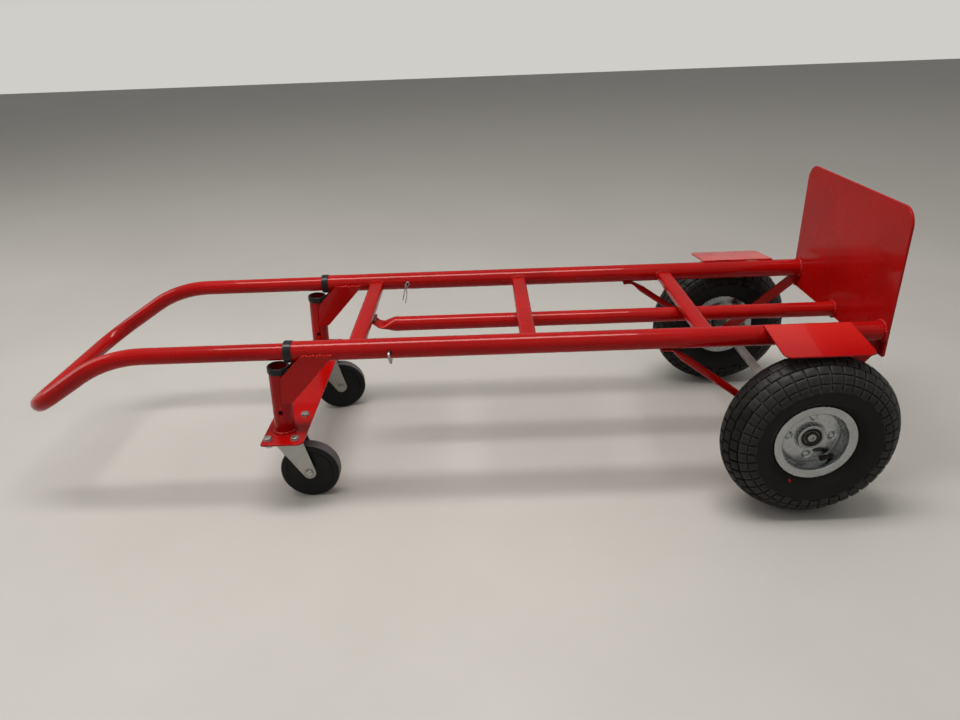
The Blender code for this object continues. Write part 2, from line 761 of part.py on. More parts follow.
def build_casters(base_plate):
    for label, sign in SIDES:
        frame = empty(f"caster_place_{label}", (CASTER_X, sign * CASTER_Y, 0))
        drill = drill_pattern("mount_drill")
        tool = cutter(f"mount_drill_{label}", drill, (0, 0, BASE_TOP_Z), parent=frame)
        combine(base_plate, tool)
        combine(build_mount_plate(label, frame), tool)
        for number, (x, y) in enumerate(bolt_places(), start=1):
            place = (x, y, BASE_TOP_Z)
            finish(f"mount_bolt_{label}_{number}", mount_bolt_mesh(), ZINC, place, parent=frame)
        swivel = empty(f"caster_swivel_{label}", (0, 0, 0), (0, 0, CASTER_YAW[label]), frame)
        build_fork(label, swivel)
        turn = (-sign * math.radians(90), 0, 0)
        hub = empty(f"caster_hub_{label}", (CASTER_TRAIL, 0, CASTER_RADIUS), turn, swivel)
        wheel = lathe("caster_wheel", caster_wheel_outline(), 28)
        finish(f"caster_wheel_{label}", wheel, RUBBER, parent=hub)
        finish(f"caster_axle_{label}", caster_axle_mesh(), ZINC, parent=hub)


def handle_path():
    """Centre line of the handle from the right leg's inner end round to the left leg's."""
    slope = Vector((-math.cos(HANDLE_BEND_ANGLE), 0, -math.sin(HANDLE_BEND_ANGLE)))
    reach = HANDLE_BEND_RADIUS * math.tan(HANDLE_BEND_ANGLE / 2)
    half = [Vector((HANDLE_INNER_X, -RAIL_Y, RAIL_Z))]
    centre = Vector((HANDLE_BEND_X + reach, -RAIL_Y, RAIL_Z - HANDLE_BEND_RADIUS))
    steps = 5
    for step in range(steps + 1):
        angle = HANDLE_BEND_ANGLE * step / steps
        arm = Vector((-math.sin(angle), 0, math.cos(angle)))
        half.append(centre + arm * HANDLE_BEND_RADIUS)
    corner = Vector((HANDLE_BEND_X, -RAIL_Y, RAIL_Z)) + slope * HANDLE_SLOPE_LENGTH
    centre = corner - slope * HANDLE_CORNER_RADIUS + Vector((0, HANDLE_CORNER_RADIUS, 0))
    steps = 6
    for step in range(steps + 1):
        angle = math.radians(90) * step / steps
        arm = slope * math.sin(angle) - Vector((0, math.cos(angle), 0))
        half.append(centre + arm * HANDLE_CORNER_RADIUS)
    mirrored = [Vector((point.x, -point.y, point.z)) for point in reversed(half)]
    return half + mirrored


def build_handle():
    """Hollow push handle. Each leg has a slot, open at its end, that passes the lock pin."""
    path = handle_path()
    outer = sweep_loops(path, HANDLE_RADIUS, 14)
    inner = sweep_loops(path, HANDLE_RADIUS - HANDLE_WALL, 14)
    mesh = skin("push_handle", outer + list(reversed(inner)), closed=True)
    handle = finish("push_handle", mesh, PAINT)
    near = PIN_X - PIN_HOLE_RADIUS
    far = HANDLE_INNER_X + 0.01
    half = PIN_HOLE_RADIUS
    outline = ((near, -half), (far, -half), (far, half), (near, half))
    box = slab("leg_slot", outline, 0.4)
    tool = cutter("leg_slot", box, (0, 0.2, RAIL_Z), (math.radians(90), 0, 0))
    combine(handle, tool)


def build_lock_pins():
    """Hitch pins: a shaft through rail and handle, with an arm bent down outside the rail."""
    for label, sign in SIDES:
        axis = empty(f"lock_pin_axis_{label}", (PIN_X, sign * RAIL_Y, RAIL_Z))
        bend = 0.005
        outside = RAIL_RADIUS + 0.0035
        path = [Vector((0, -sign * (RAIL_RADIUS + PIN_REACH), 0))]
        for across, down in arc((outside, -bend), bend, math.radians(90), 0, 5):
            path.append(Vector((0, sign * across, down)))
        path.append(Vector((0.003, sign * (outside + bend), -PIN_ARM)))
        loops = sweep_loops(path, PIN_RADIUS, 12)
        pin = finish(f"lock_pin_{label}", skin("lock_pin", loops), ZINC, parent=axis)
        hole = CLIP_RADIUS + 0.0004
        drill = stack("clip_drill", ((-0.01, hole), (0.01, hole)), 8)
        place = (0, -sign * (RAIL_RADIUS + PIN_REACH - 0.0045), 0)
        tool = cutter(f"clip_drill_{label}", drill, place, (0, CLIP_TILT, 0), axis)
        combine(pin, tool)
        build_pin_clip(label, place, axis)


def build_pin_clip(label, place, axis):
    """Spring clip: one straight leg through the pin, a loop above it and a waved leg beside it."""
    loop_radius = 0.0030
    top = 0.0038
    beside = PIN_RADIUS + CLIP_RADIUS + 0.0005
    points = [(0, -0.032), (0, 0.0012), (0, 0.0026)]
    points += arc((loop_radius, top), loop_radius, math.radians(180), math.radians(-20), 7)
    points += [(beside + 0.0012, 0.0012), (beside + 0.0004, -0.0010), (beside - 0.0002, -0.0040)]
    points += [(0.0024, -0.0085), (0.0046, -0.0150), (0.0060, -0.024), (0.0056, -0.036)]
    path = [Vector((x, 0, z)) for x, z in points]
    mesh = skin("pin_clip", sweep_loops(path, CLIP_RADIUS, 6))
    finish(f"pin_clip_{label}", mesh, ZINC, place, (0, CLIP_TILT, 0), axis)


def main():
    clear_scene()
    build_rails()
    build_collars()
    build_crossbars()
    build_centre_tube()
    build_toe_plate()
    build_wheel_guards()
    build_axle_brackets()
    build_axle()
    build_axle_spacers()
    build_main_wheels()
    base_plate = build_base_plate()
    build_sockets()
    build_gussets()
    build_casters(base_plate)
    build_handle()
    build_lock_pins()


main()
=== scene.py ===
"""The looks of a red two-in-one hand truck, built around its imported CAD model.

Units are metres, in the row frame: the rails run along X, the toe plate is at +X, the main axle
runs along Y, and left is +Y. Places come from the CAD nodes' boxes.
"""
import math
import random

import bmesh
import bpy
from mathutils import Matrix, Vector


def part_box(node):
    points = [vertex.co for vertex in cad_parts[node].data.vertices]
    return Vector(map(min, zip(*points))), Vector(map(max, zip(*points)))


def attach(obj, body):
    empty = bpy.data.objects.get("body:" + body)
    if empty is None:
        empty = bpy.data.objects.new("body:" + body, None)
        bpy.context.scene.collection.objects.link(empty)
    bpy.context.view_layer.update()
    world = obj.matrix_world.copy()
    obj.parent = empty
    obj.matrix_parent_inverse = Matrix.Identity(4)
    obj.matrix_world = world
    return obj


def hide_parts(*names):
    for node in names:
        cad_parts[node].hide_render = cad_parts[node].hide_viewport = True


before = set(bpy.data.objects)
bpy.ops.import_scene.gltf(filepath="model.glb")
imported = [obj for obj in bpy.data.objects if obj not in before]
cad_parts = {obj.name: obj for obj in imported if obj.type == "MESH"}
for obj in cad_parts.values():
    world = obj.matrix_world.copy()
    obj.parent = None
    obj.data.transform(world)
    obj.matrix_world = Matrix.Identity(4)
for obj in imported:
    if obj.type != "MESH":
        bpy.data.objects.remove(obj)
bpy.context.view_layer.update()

SIDES = (("left", 1.0), ("right", -1.0))
TAU = 2 * math.pi
chance = random.Random(7)


def mid(node):
    low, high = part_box(node)
    return (low + high) / 2


def span(node):
    low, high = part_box(node)
    return high - low


def turned(degrees, axis):
    return Matrix.Rotation(math.radians(degrees), 4, axis)


def at(x, y, z):
    return Matrix.Translation((x, y, z))


ALONG_X = turned(90, "Y")
ALONG_Y = turned(-90, "X")


# ---------------------------------------------------------------- materials


class Paint:
    """Builds one procedural material around a Principled shader."""

    def __init__(self, name, roughness=0.4, metallic=0.0, **fixed):
        self.material = bpy.data.materials.new(name)
        self.material.use_nodes = True
        self.tree = self.material.node_tree
        self.shader = self.tree.nodes["Principled BSDF"]
        self.shader.inputs["Roughness"].default_value = roughness
        self.shader.inputs["Metallic"].default_value = metallic
        for key, value in fixed.items():
            self.shader.inputs[key.replace("_", " ")].default_value = value
        self.place = self.node("ShaderNodeTexCoord").outputs["Object"]
        self.last_bump = None

    def node(self, kind, **settings):
        made = self.tree.nodes.new(kind)
        for key, value in settings.items():
            setattr(made, key, value)
        return made

    def link(self, start, end):
        self.tree.links.new(start, end)
        return end

    def stretch(self, scale):
        mapping = self.node("ShaderNodeMapping")
        mapping.inputs["Scale"].default_value = scale
        self.link(self.place, mapping.inputs["Vector"])
        return mapping.outputs["Vector"]

    def noise(self, scale, detail=3.0, rough=0.55, stretch=(1, 1, 1)):
        made = self.node("ShaderNodeTexNoise")
        made.inputs["Scale"].default_value = scale
        made.inputs["Detail"].default_value = detail
        made.inputs["Roughness"].default_value = rough
        self.link(self.stretch(stretch), made.inputs["Vector"])
        return made.outputs["Fac"]

    def cells(self, scale, output="Distance"):
        made = self.node("ShaderNodeTexVoronoi")
        made.inputs["Scale"].default_value = scale
        self.link(self.stretch((1, 1, 1)), made.inputs["Vector"])
        return made.outputs[output]

    def remap(self, value, low, high, new_low, new_high):
        made = self.node("ShaderNodeMapRange", clamp=True)
        for index, number in enumerate((low, high, new_low, new_high), start=1):
            made.inputs[index].default_value = number
        self.link(value, made.inputs[0])
        return made.outputs[0]

    def maths(self, kind, first, second):
        made = self.node("ShaderNodeMath", operation=kind, use_clamp=True)
        for socket, value in zip(made.inputs, (first, second)):
            if isinstance(value, (int, float)):
                socket.default_value = value
            else:
                self.link(value, socket)
        return made.outputs[0]

    def ramp(self, value, *stops):
        made = self.node("ShaderNodeValToRGB")
        points = made.color_ramp.elements
        while len(points) < len(stops):
            points.new(0.5)
        for point, (position, colour) in zip(points, stops):
            point.position = position
            point.color = (*colour, 1.0)
        self.link(value, made.inputs[0])
        return made.outputs[0]

    def blend(self, amount, first, second):
        made = self.node("ShaderNodeMix", data_type="RGBA")
        self.link(amount, made.inputs[0])
        for socket, colour in ((made.inputs[6], first), (made.inputs[7], second)):
            if isinstance(colour, tuple):
                socket.default_value = (*colour, 1.0)
            else:
                self.link(colour, socket)
        return made.outputs[2]

    def edges(self, low=0.52, high=0.6):
        return self.remap(self.node("ShaderNodeNewGeometry").outputs["Pointiness"], low, high, 0, 1)

    def colour(self, value):
        self.link(value, self.shader.inputs["Base Color"])

    def rough(self, value, low, high):
        self.link(self.remap(value, 0.3, 0.7, low, high), self.shader.inputs["Roughness"])

    def bump(self, value, distance, strength=1.0):
        made = self.node("ShaderNodeBump")
        made.inputs["Strength"].default_value = strength
        made.inputs["Distance"].default_value = distance
        self.link(value, made.inputs["Height"])
        if self.last_bump:
            self.link(self.last_bump, made.inputs["Normal"])
        self.last_bump = made.outputs["Normal"]
        self.link(self.last_bump, self.shader.inputs["Normal"])


def red_paint(name):
    """Glossy red enamel: cloudy tone, orange peel, fine scratches, a few specks of dust, and a
    painted highlight of brighter red on convex edges and weld ripples.
    """
    paint = Paint(name, Coat_Weight=0.32, Coat_Roughness=0.05, Specular_IOR_Level=0.1)
    cloud = paint.noise(9.0, 4.0)
    base = paint.ramp(
        cloud,
        (0.3, (0.285, 0.0012, 0.0012)),
        (0.55, (0.34, 0.0018, 0.0016)),
        (0.75, (0.39, 0.003, 0.0026)),
    )
    scratch = paint.noise(70.0, 2.0, 0.5, (0.25, 5.0, 5.0))
    base = paint.blend(paint.remap(scratch, 0.72, 0.8, 0, 0.3), base, (0.42, 0.05, 0.04))
    speck = paint.remap(paint.cells(150.0), 0.05, 0.08, 1, 0)
    sparse = paint.remap(paint.noise(22.0, 1.0), 0.66, 0.7, 0, 0.6)
    base = paint.blend(paint.maths("MULTIPLY", speck, sparse), base, (0.75, 0.42, 0.38))
    # painted highlight: convex edges and weld ripples are blended towards a brighter red
    paint.colour(paint.blend(paint.edges(0.54, 0.66), base, (0.46, 0.018, 0.014)))
    paint.rough(paint.noise(26.0, 5.0), 0.2, 0.3)
    paint.bump(paint.noise(90.0, 2.0), 0.0001, 0.06)
    paint.bump(scratch, 0.00004, 0.05)
    return paint.material


def zinc(name, tone, tint=(1.0, 1.0, 1.0), low=0.26, high=0.46, metallic=0.9, pits=0.25):
    """Zinc plating: soft spangle, a milky bloom and rub marks."""
    paint = Paint(name, metallic=metallic)
    bloom = paint.noise(38.0, 5.0, 0.6)
    shades = [tuple(tone * step * part for part in tint) for step in (0.86, 0.97, 1.05)]
    base = paint.ramp(bloom, (0.3, shades[0]), (0.52, shades[1]), (0.72, shades[2]))
    spangle = paint.cells(420.0, "Color")
    grey = paint.node("ShaderNodeRGBToBW")
    paint.link(spangle, grey.inputs[0])
    patch = paint.remap(grey.outputs[0], 0.2, 0.8, 0, 0.14)
    base = paint.blend(patch, base, tuple(tone * 0.8 * part for part in tint))
    grime = paint.remap(paint.noise(75.0, 4.0), 0.62, 0.76, 0, 0.3)
    paint.colour(paint.blend(grime, base, tuple(tone * 0.45 * part for part in tint)))
    paint.rough(paint.noise(110.0, 4.0), low, high)
    paint.bump(paint.noise(520.0, 2.0), 0.00005, pits)
    paint.bump(paint.noise(60.0, 2.0, 0.5, (6.0, 1.0, 1.0)), 0.00006, 0.12)
    return paint.material


def rubber(name, tone, dust, low, high, edge=(0.55, 0.75), rim=1.25):
    """Rubber with a fine moulded skin, dust that gathers in broad patches, and edges lightened
    partly by dust and partly by a painted highlight.
    """
    paint = Paint(name, Specular_IOR_Level=0.24)
    patch = paint.noise(16.0, 6.0, 0.65)
    base = paint.blend(paint.remap(patch, 0.42, 0.7, 0, 0.55), tone, dust)
    rub = paint.remap(paint.noise(150.0, 5.0, 0.7), 0.52, 0.72, 0, 0.4)
    base = paint.blend(rub, base, tuple(0.7 * part for part in dust))
    # edges lighten towards the dust colour times rim: part dust, part painted highlight on block
    # and rib edges
    paint.colour(paint.blend(paint.edges(*edge), base, tuple(rim * part for part in dust)))
    paint.rough(patch, low, high)
    paint.bump(paint.noise(520.0, 3.0, 0.6), 0.00018, 0.55)
    return paint.material


def plastic(name):
    """Black moulded plastic with a satin grain and pale scuffs."""
    paint = Paint(name, Specular_IOR_Level=0.35)
    scuff = paint.remap(paint.noise(60.0, 5.0, 0.6), 0.58, 0.74, 0, 0.3)
    paint.colour(paint.blend(scuff, (0.009, 0.01, 0.012), (0.045, 0.046, 0.05)))
    paint.rough(paint.noise(48.0, 4.0), 0.22, 0.38)
    paint.bump(paint.noise(700.0, 2.0), 0.0001, 0.4)
    return paint.material


RED = red_paint("red_enamel")
RED_BAR = red_paint("red_enamel_bars")
HEAT = zinc("heat_tinted_weld", 0.16, (1.0, 0.52, 0.36), 0.4, 0.6, 0.4)
ZINC = zinc("zinc_plating", 0.43, (1.0, 1.0, 0.95))
RIM = zinc("rim_plating", 0.46, (0.96, 0.99, 1.0), 0.22, 0.3, 1.0, pits=0.06)
YELLOW_ZINC = zinc("yellow_passivate", 0.52, (1.0, 0.86, 0.48), 0.3, 0.48)
STEEL = zinc("axle_steel", 0.42, (1.0, 0.98, 0.94), 0.34, 0.52)
TYRE = rubber("tyre_rubber", (0.006, 0.006, 0.0058), (0.016, 0.015, 0.014), 0.5, 0.72)
# the tread's strong edge lightening (rim=3.0) is a painted highlight on the block edges as well as
# dust
TREAD = rubber("tread_rubber", (0.006, 0.0058, 0.0057), (0.017, 0.0155, 0.015), 0.36, 0.56,
               edge=(0.52, 0.62), rim=3.0)
GROOVES = rubber("groove_dust", (0.034, 0.03, 0.028), (0.11, 0.098, 0.09), 0.7, 0.9)
CASTER_CORE = rubber("caster_core", (0.0065, 0.0065, 0.0072), (0.02, 0.02, 0.022), 0.36, 0.56)
CASTER_TREAD = rubber("caster_tread", (0.13, 0.124, 0.126), (0.26, 0.24, 0.245), 0.55, 0.75)
SEAL = rubber("bearing_seal", (0.01, 0.009, 0.009), (0.05, 0.04, 0.03), 0.4, 0.6)
PLASTIC = plastic("black_plastic_satin")
DOT = red_paint("balance_dot")


# ---------------------------------------------------------------- geometry


def circle(count):
    return [(math.cos(TAU * i / count), math.sin(TAU * i / count)) for i in range(count)]


def fillet(outline, radius, steps=3, closed=True):
    """Round every corner of a 2D or 3D outline. radius is one number, or one for each corner."""
    points = [Vector(point) for point in outline]
    count = len(points)
    radii = radius if isinstance(radius, (list, tuple)) else [radius] * count
    made = []
    for i, corner in enumerate(points):
        if radii[i] == 0 or (not closed and i in (0, count - 1)):
            made.append(corner)
            continue
        before = points[i - 1] - corner
        after = points[(i + 1) % count] - corner
        half = before.angle(after, math.pi) / 2
        if half > math.radians(88):
            made.append(corner)
            continue
        limit = 0.49 * min(before.length, after.length)
        reach = min(radii[i] / math.tan(half), limit)
        real = reach * math.tan(half)
        towards = (before.normalized() + after.normalized()).normalized()
        centre = corner + towards * (real / math.sin(half))
        start = corner + before.normalized() * reach - centre
        end = corner + after.normalized() * reach - centre
        whole = start.angle(end)
        for step in range(steps + 1):
            part = step / steps
            arm = start * math.sin((1 - part) * whole) + end * math.sin(part * whole)
            made.append(centre + arm / math.sin(whole))
    return made


def smooth_line(points, steps):
    """A Catmull-Rom line through the points."""
    points = [Vector(point) for point in points]
    padded = [points[0] * 2 - points[1], *points, points[-1] * 2 - points[-2]]
    made = []
    for a, b, c, d in zip(padded, padded[1:], padded[2:], padded[3:]):
        for step in range(steps):
            t = step / steps
            made.append(
                0.5 * (2 * b + (c - a) * t + (2 * a - 5 * b + 4 * c - d) * t * t
                       + (3 * b - a - 3 * c + d) * t ** 3)
            )
    return [*made, points[-1]]


def smooth_sections(sections):
    """Fill in between (centre, direction, half width, half height) sections with smooth ones."""
    centres, directions, sizes = (
        smooth_line(points, 6)
        for points in ([part[0] for part in sections], [part[1] for part in sections],
                       [(part[2], part[3], 0) for part in sections])
    )
    return [(c, d.normalized(), s.x, s.y) for c, d, s in zip(centres, directions, sizes)]


def inset(outline, distance):
    """Move a counter-clockwise 2D outline inwards."""
    made = []
    for i, point in enumerate(outline):
        ahead = (outline[(i + 1) % len(outline)] - point).normalized()
        behind = (point - outline[i - 1]).normalized()
        normal = Vector((-ahead.y - behind.y, ahead.x + behind.x)).normalized()
        lean = max(0.35, normal.dot(Vector((-ahead.y, ahead.x))))
        made.append(point + normal * (distance / lean))
    return made


class Shape:
    """A mesh in the making, in the row frame."""

    def __init__(self):
        self.bm = bmesh.new()

    def rings(self, loops, place=None, closed=False, slots=0):
        """Skin a run of equal loops with quads, and cap an open run at both ends."""
        place = place or Matrix.Identity(4)
        rows = [[self.bm.verts.new(place @ Vector(point)) for point in loop] for loop in loops]
        pairs = list(zip(rows, rows[1:]))
        if closed:
            pairs.append((rows[-1], rows[0]))
        count = len(rows[0])
        for number, (first, second) in enumerate(pairs):
            slot = slots if isinstance(slots, int) else slots[number]
            for i in range(count):
                j = (i + 1) % count
                face = self.bm.faces.new((first[i], first[j], second[j], second[i]))
                face.material_index = slot
        if not closed:
            for row, number in ((rows[0][::-1], 0), (rows[-1], -1)):
                face = self.bm.faces.new(row)
                face.material_index = slots if isinstance(slots, int) else slots[number]
        return self

    def turn(self, profile, place, count=96, closed=True, slots=0):
        """Turn a (radius, height) outline about the local Z of place."""
        ring = circle(count)
        loops = [[(r * c, r * s, h) for c, s in ring] for r, h in profile]
        return self.rings(loops, place, closed, slots)

    def sweep(self, path, radius, place=None, count=24):
        """Carry a circle along a path without twist. radius may be one number or one a point."""
        path = [Vector(point) for point in path]
        last = (path[1] - path[0]).normalized()
        side = Vector((1, 0, 0)) if abs(last.x) < 0.9 else Vector((0, 1, 0))
        ring, loops = circle(count), []
        for i, point in enumerate(path):
            tangent = (path[min(i + 1, len(path) - 1)] - path[max(i - 1, 0)]).normalized()
            side = last.rotation_difference(tangent) @ side
            side = (side - tangent * side.dot(tangent)).normalized()
            last, up = tangent, tangent.cross(side)
            size = radius[i] if isinstance(radius, list) else radius
            loops.append([point + (side * c + up * s) * size for c, s in ring])
        return self.rings(loops, place)

    def pressed(self, sections, place=None, count=40):
        """Skin ovals given as (centre, direction, half width, half height), all across Y."""
        loops = []
        for centre, along, width, height in sections:
            up = Vector((-along.z, 0, along.x)).normalized()
            loops.append([centre + Vector((0, width * c, 0)) + up * height * s
                          for c, s in circle(count)])
        return self.rings(loops, place)

    def plate(self, outline, thickness, place, edge=0.0006):
        """A flat plate up local Z, with its edges rounded."""
        flat = [Vector((point[0], point[1])) for point in outline]
        steps = ((edge, 0), (0.3 * edge, 0.3 * edge), (0, edge))
        steps += tuple((inward, thickness - height) for inward, height in reversed(steps))
        loops = [[(p.x, p.y, height) for p in inset(flat, inward)] for inward, height in steps]
        return self.rings(loops, place)

    def bead(self, path, radius=0.0016, pitch=0.0026, wave=0.0):
        """A weld bead: overlapping ripples, never quite even. wave lets it wander up and down."""
        path = [Vector(point) for point in path]
        points, sizes, walked = [], [], 0.0
        for start, end in zip(path, path[1:]):
            steps = max(1, round((end - start).length / 0.0008))
            for step in range(steps):
                wander = Vector([chance.uniform(-0.00013, 0.00013) for _ in range(3)])
                wander.z += wave * (math.sin(walked / 0.0021) + math.sin(walked / 0.0009 + 1.0))
                points.append(start.lerp(end, step / steps) + wander)
                ripple = abs(math.sin(math.pi * walked / pitch))
                sizes.append(radius * (0.78 + 0.34 * ripple + chance.uniform(-0.04, 0.04)))
                walked += (end - start).length / steps
        sizes[0] = sizes[-1] = radius * 0.5
        self.sweep(points, sizes, count=10)

    def dot(self, centre, radius):
        """One drop of weld spatter."""
        made = bmesh.ops.create_icosphere(self.bm, subdivisions=2, radius=radius)
        bmesh.ops.translate(self.bm, verts=made["verts"], vec=centre)

    def done(self, name, materials, nodes=(), body="frame", slot=None):
        """Turn it into a piece that rides on a body and stands for the named CAD nodes."""
        bmesh.ops.recalc_face_normals(self.bm, faces=self.bm.faces)
        return piece_of(self.bm, bpy.data.meshes.new(name), name, materials, nodes, body)


def add_object(name, data):
    made = bpy.data.objects.new(name, data)
    bpy.context.scene.collection.objects.link(made)
    return made


def piece_of(bm, mesh, name, materials, nodes=(), body="frame"):
    """A visible piece."""
    bm.to_mesh(mesh)
    bm.free()
    mesh.shade_smooth()
    mesh.set_sharp_from_angle(angle=math.radians(50))
    piece = add_object(name, mesh)
    materials = materials if isinstance(materials, tuple) else (materials,)
    for material in materials:
        mesh.materials.append(material)
    piece.modifiers.new("even_shading", "WEIGHTED_NORMAL").keep_sharp = True
    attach(piece, body)
    if nodes:
        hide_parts(*([nodes] if isinstance(nodes, str) else nodes))
    return piece


def settle(piece):
    """Apply a piece's modifiers to its mesh."""
    graph = bpy.context.evaluated_depsgraph_get()
    mesh = bpy.data.meshes.new_from_object(piece.evaluated_get(graph))
    piece.modifiers.clear()
    piece.data = mesh


def drill(piece, place, radius, depth):
    """Cut a round hole along the local Z of place, centred there."""
    carve(piece, Shape().turn(((radius, -depth), (radius, depth)), place, 40, closed=False))


def carve(piece, shape):
    """Take a closed shape away from a piece."""
    bmesh.ops.recalc_face_normals(shape.bm, faces=shape.bm.faces)
    mesh = bpy.data.meshes.new("drill")
    shape.bm.to_mesh(mesh)
    shape.bm.free()
    tool = add_object("drill", mesh)
    cut = piece.modifiers.new("cut", "BOOLEAN")
    cut.operation, cut.solver, cut.object = "DIFFERENCE", "EXACT", tool
    piece.modifiers.move(len(piece.modifiers) - 1, 0)
    settle(piece)
    bpy.data.objects.remove(tool)


def softened(node):
    """A copy of a flat CAD node with its edges rounded."""
    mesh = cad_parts[node].data.copy()
    bm = bmesh.new()
    bm.from_mesh(mesh)
    bmesh.ops.remove_doubles(bm, verts=bm.verts, dist=0.00001)
    bmesh.ops.dissolve_limit(bm, angle_limit=0.01, verts=bm.verts, edges=bm.edges)
    sharp = math.radians(38)
    corners = [e for e in bm.edges if len(e.link_faces) == 2 and e.calc_face_angle(0) > sharp]
    bmesh.ops.bevel(bm, geom=corners, offset=0.0005, segments=2, profile=0.5,
                    affect="EDGES", clamp_overlap=True)
    mesh.materials.clear()
    return piece_of(bm, mesh, node + "_fine", RED, node)


# ---------------------------------------------------------------- frame tubes and plates

rail_low, rail_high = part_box("side_rail_right")
RAIL_R = (rail_high.z - rail_low.z) / 2
RAIL_Y = -mid("side_rail_right").y
RAIL_Z = mid("side_rail_right").z
PIN_R = 0.0022
PIN_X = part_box("lock_pin_right")[0].x + PIN_R
PIN_HOLE_R = 0.0036
WALL = 0.0012
SHEET = 0.0025
CENTRE_R = 0.0127
STRAP_THICK = 0.003
BRACKET_LEAN = math.radians(8.2)
BRACKET_Y = 0.174
GUARD_DROOP = math.radians(7.5)
GUARD_REACH = 0.092
HANDLE_R = 0.0132


def tube_profile(radius, length, stations):
    """Outline of an open tube from its start to its end, lips softened."""
    lip = 0.0003
    outer = [(radius - lip, 0), (radius, lip), *[(radius, s) for s in stations]]
    outer += [(radius, length - lip), (radius - lip, length)]
    bore = radius - WALL
    inner = [(bore, length), *[(bore, s) for s in reversed(stations)]]
    return [*outer, *inner, (bore, 0)]


def build_rails():
    for label, sign in SIDES:
        low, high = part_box(f"side_rail_{label}")
        hole = PIN_X - low.x
        shape = Shape()
        stations = (hole - 0.009, hole + 0.009)
        profile = tube_profile(RAIL_R, high.x - low.x, stations)
        shape.turn(profile, at(low.x, sign * RAIL_Y, RAIL_Z) @ ALONG_X, 80)
        rail = shape.done(f"rail_{label}", RED, f"side_rail_{label}")
        drill(rail, at(PIN_X, sign * RAIL_Y, RAIL_Z) @ ALONG_Y, PIN_HOLE_R, 0.03)
        node = f"rail_collar_{label}"
        low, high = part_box(node)
        radius, length = (high.z - low.z) / 2, high.x - low.x
        outline = (
            (0.0137, 0.0), (radius - 0.0008, 0.0), (radius, 0.0012), (radius, length - 0.0022),
            (radius - 0.0004, length - 0.0018), (radius - 0.0004, length - 0.0004),
            (RAIL_R + 0.0001, length), (RAIL_R + 0.0001, 0.0021), (0.0137, 0.0021),
        )
        shape = Shape().turn(fillet(outline, 0.0005), at(low.x, sign * RAIL_Y, RAIL_Z) @ ALONG_X)
        shape.done(f"collar_{label}", PLASTIC, node)


def bar_section(half_width, half_height, count=56):
    """A flattened tube's outline: an oval with squared corners."""
    square = 0.55
    return [
        tuple(half * math.copysign(abs(part) ** square, part)
              for half, part in ((half_width, c), (half_height, s)))
        for c, s in circle(count)
    ]


def build_crossbars():
    """Flattened tubes, coped to the rails, with a bead right round each end."""
    welds = Shape()
    for label in ("upper", "middle", "lower"):
        node = f"crossbar_{label}"
        centre, size = mid(node), span(node)
        shape, loops = Shape(), []
        for sign in (-1, -0.5, 0, 0.5, 1):
            loop = []
            for x, z in bar_section(size.x / 2, size.z / 2):
                height = z + centre.z - RAIL_Z
                end = RAIL_Y - math.sqrt((RAIL_R + 0.0001) ** 2 - height ** 2)
                loop.append((centre.x + x, sign * end, centre.z + z))
            loops.append(loop)
        shape.rings(loops)
        shape.done(f"bar_{label}", RED_BAR, node)
        for sign in (-1, 1):
            path = []
            for x, z in bar_section(size.x / 2 + 0.0004, size.z / 2 + 0.0004, 40):
                height = z + centre.z - RAIL_Z
                reach = RAIL_Y - math.sqrt((RAIL_R + 0.0006) ** 2 - height ** 2)
                path.append((centre.x + x, sign * reach, centre.z + z))
            welds.bead([*path, path[0]], 0.0021, 0.0034)
            for _ in range(9):
                angle = math.radians(chance.uniform(35, 120))
                welds.dot(
                    (
                        centre.x + chance.choice((-1, 1)) * chance.uniform(0.016, 0.03),
                        sign * (RAIL_Y - RAIL_R * math.cos(angle)),
                        RAIL_Z + RAIL_R * math.sin(angle),
                    ),
                    chance.uniform(0.00025, 0.0005),
                )
    welds.done("welds_crossbars", RED)


def build_centre_tube():
    tab_low, tab_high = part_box("center_tube")
    level = Vector((1, 0, 0))
    axis = tab_low.z + CENTRE_R
    low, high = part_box("crossbar_upper")
    sections = [(Vector((x, 0, z)), level, width, height) for x, z, width, height in (
        (tab_low.x, low.z - 0.0027, 0.0172, 0.0018),
        (tab_low.x + 0.0006, low.z - 0.0027, 0.0175, 0.0021),
        (-0.127, low.z - 0.0042, 0.018, 0.0021), (-0.117, axis + 0.0012, 0.018, 0.0023),
        (-0.109, axis - 0.0008, 0.0172, 0.0045), (-0.1, axis - 0.0005, 0.0152, 0.0088),
        (-0.0892, axis, CENTRE_R, CENTRE_R), (-0.08, axis, CENTRE_R, CENTRE_R),
    )]
    sections = smooth_sections(sections)
    sections += [(Vector((tab_high.x - 0.0002, 0, axis)), level, CENTRE_R, CENTRE_R)]
    Shape().pressed(sections).done("center_tube_fine", RED, "center_tube")
    weld = Shape()
    y, z = 0.0172, low.z - 0.0004
    for side in (1, -1):
        weld.bead([(low.x + 0.006, side * y, z), (low.x + 0.016, side * (y + 0.0006), z)], 0.0015)
    weld.bead([(high.x + 0.0003, -y + 0.002, z), (high.x + 0.0003, y - 0.002, z)], 0.0018)
    weld.done("weld_tube_tab", HEAT)


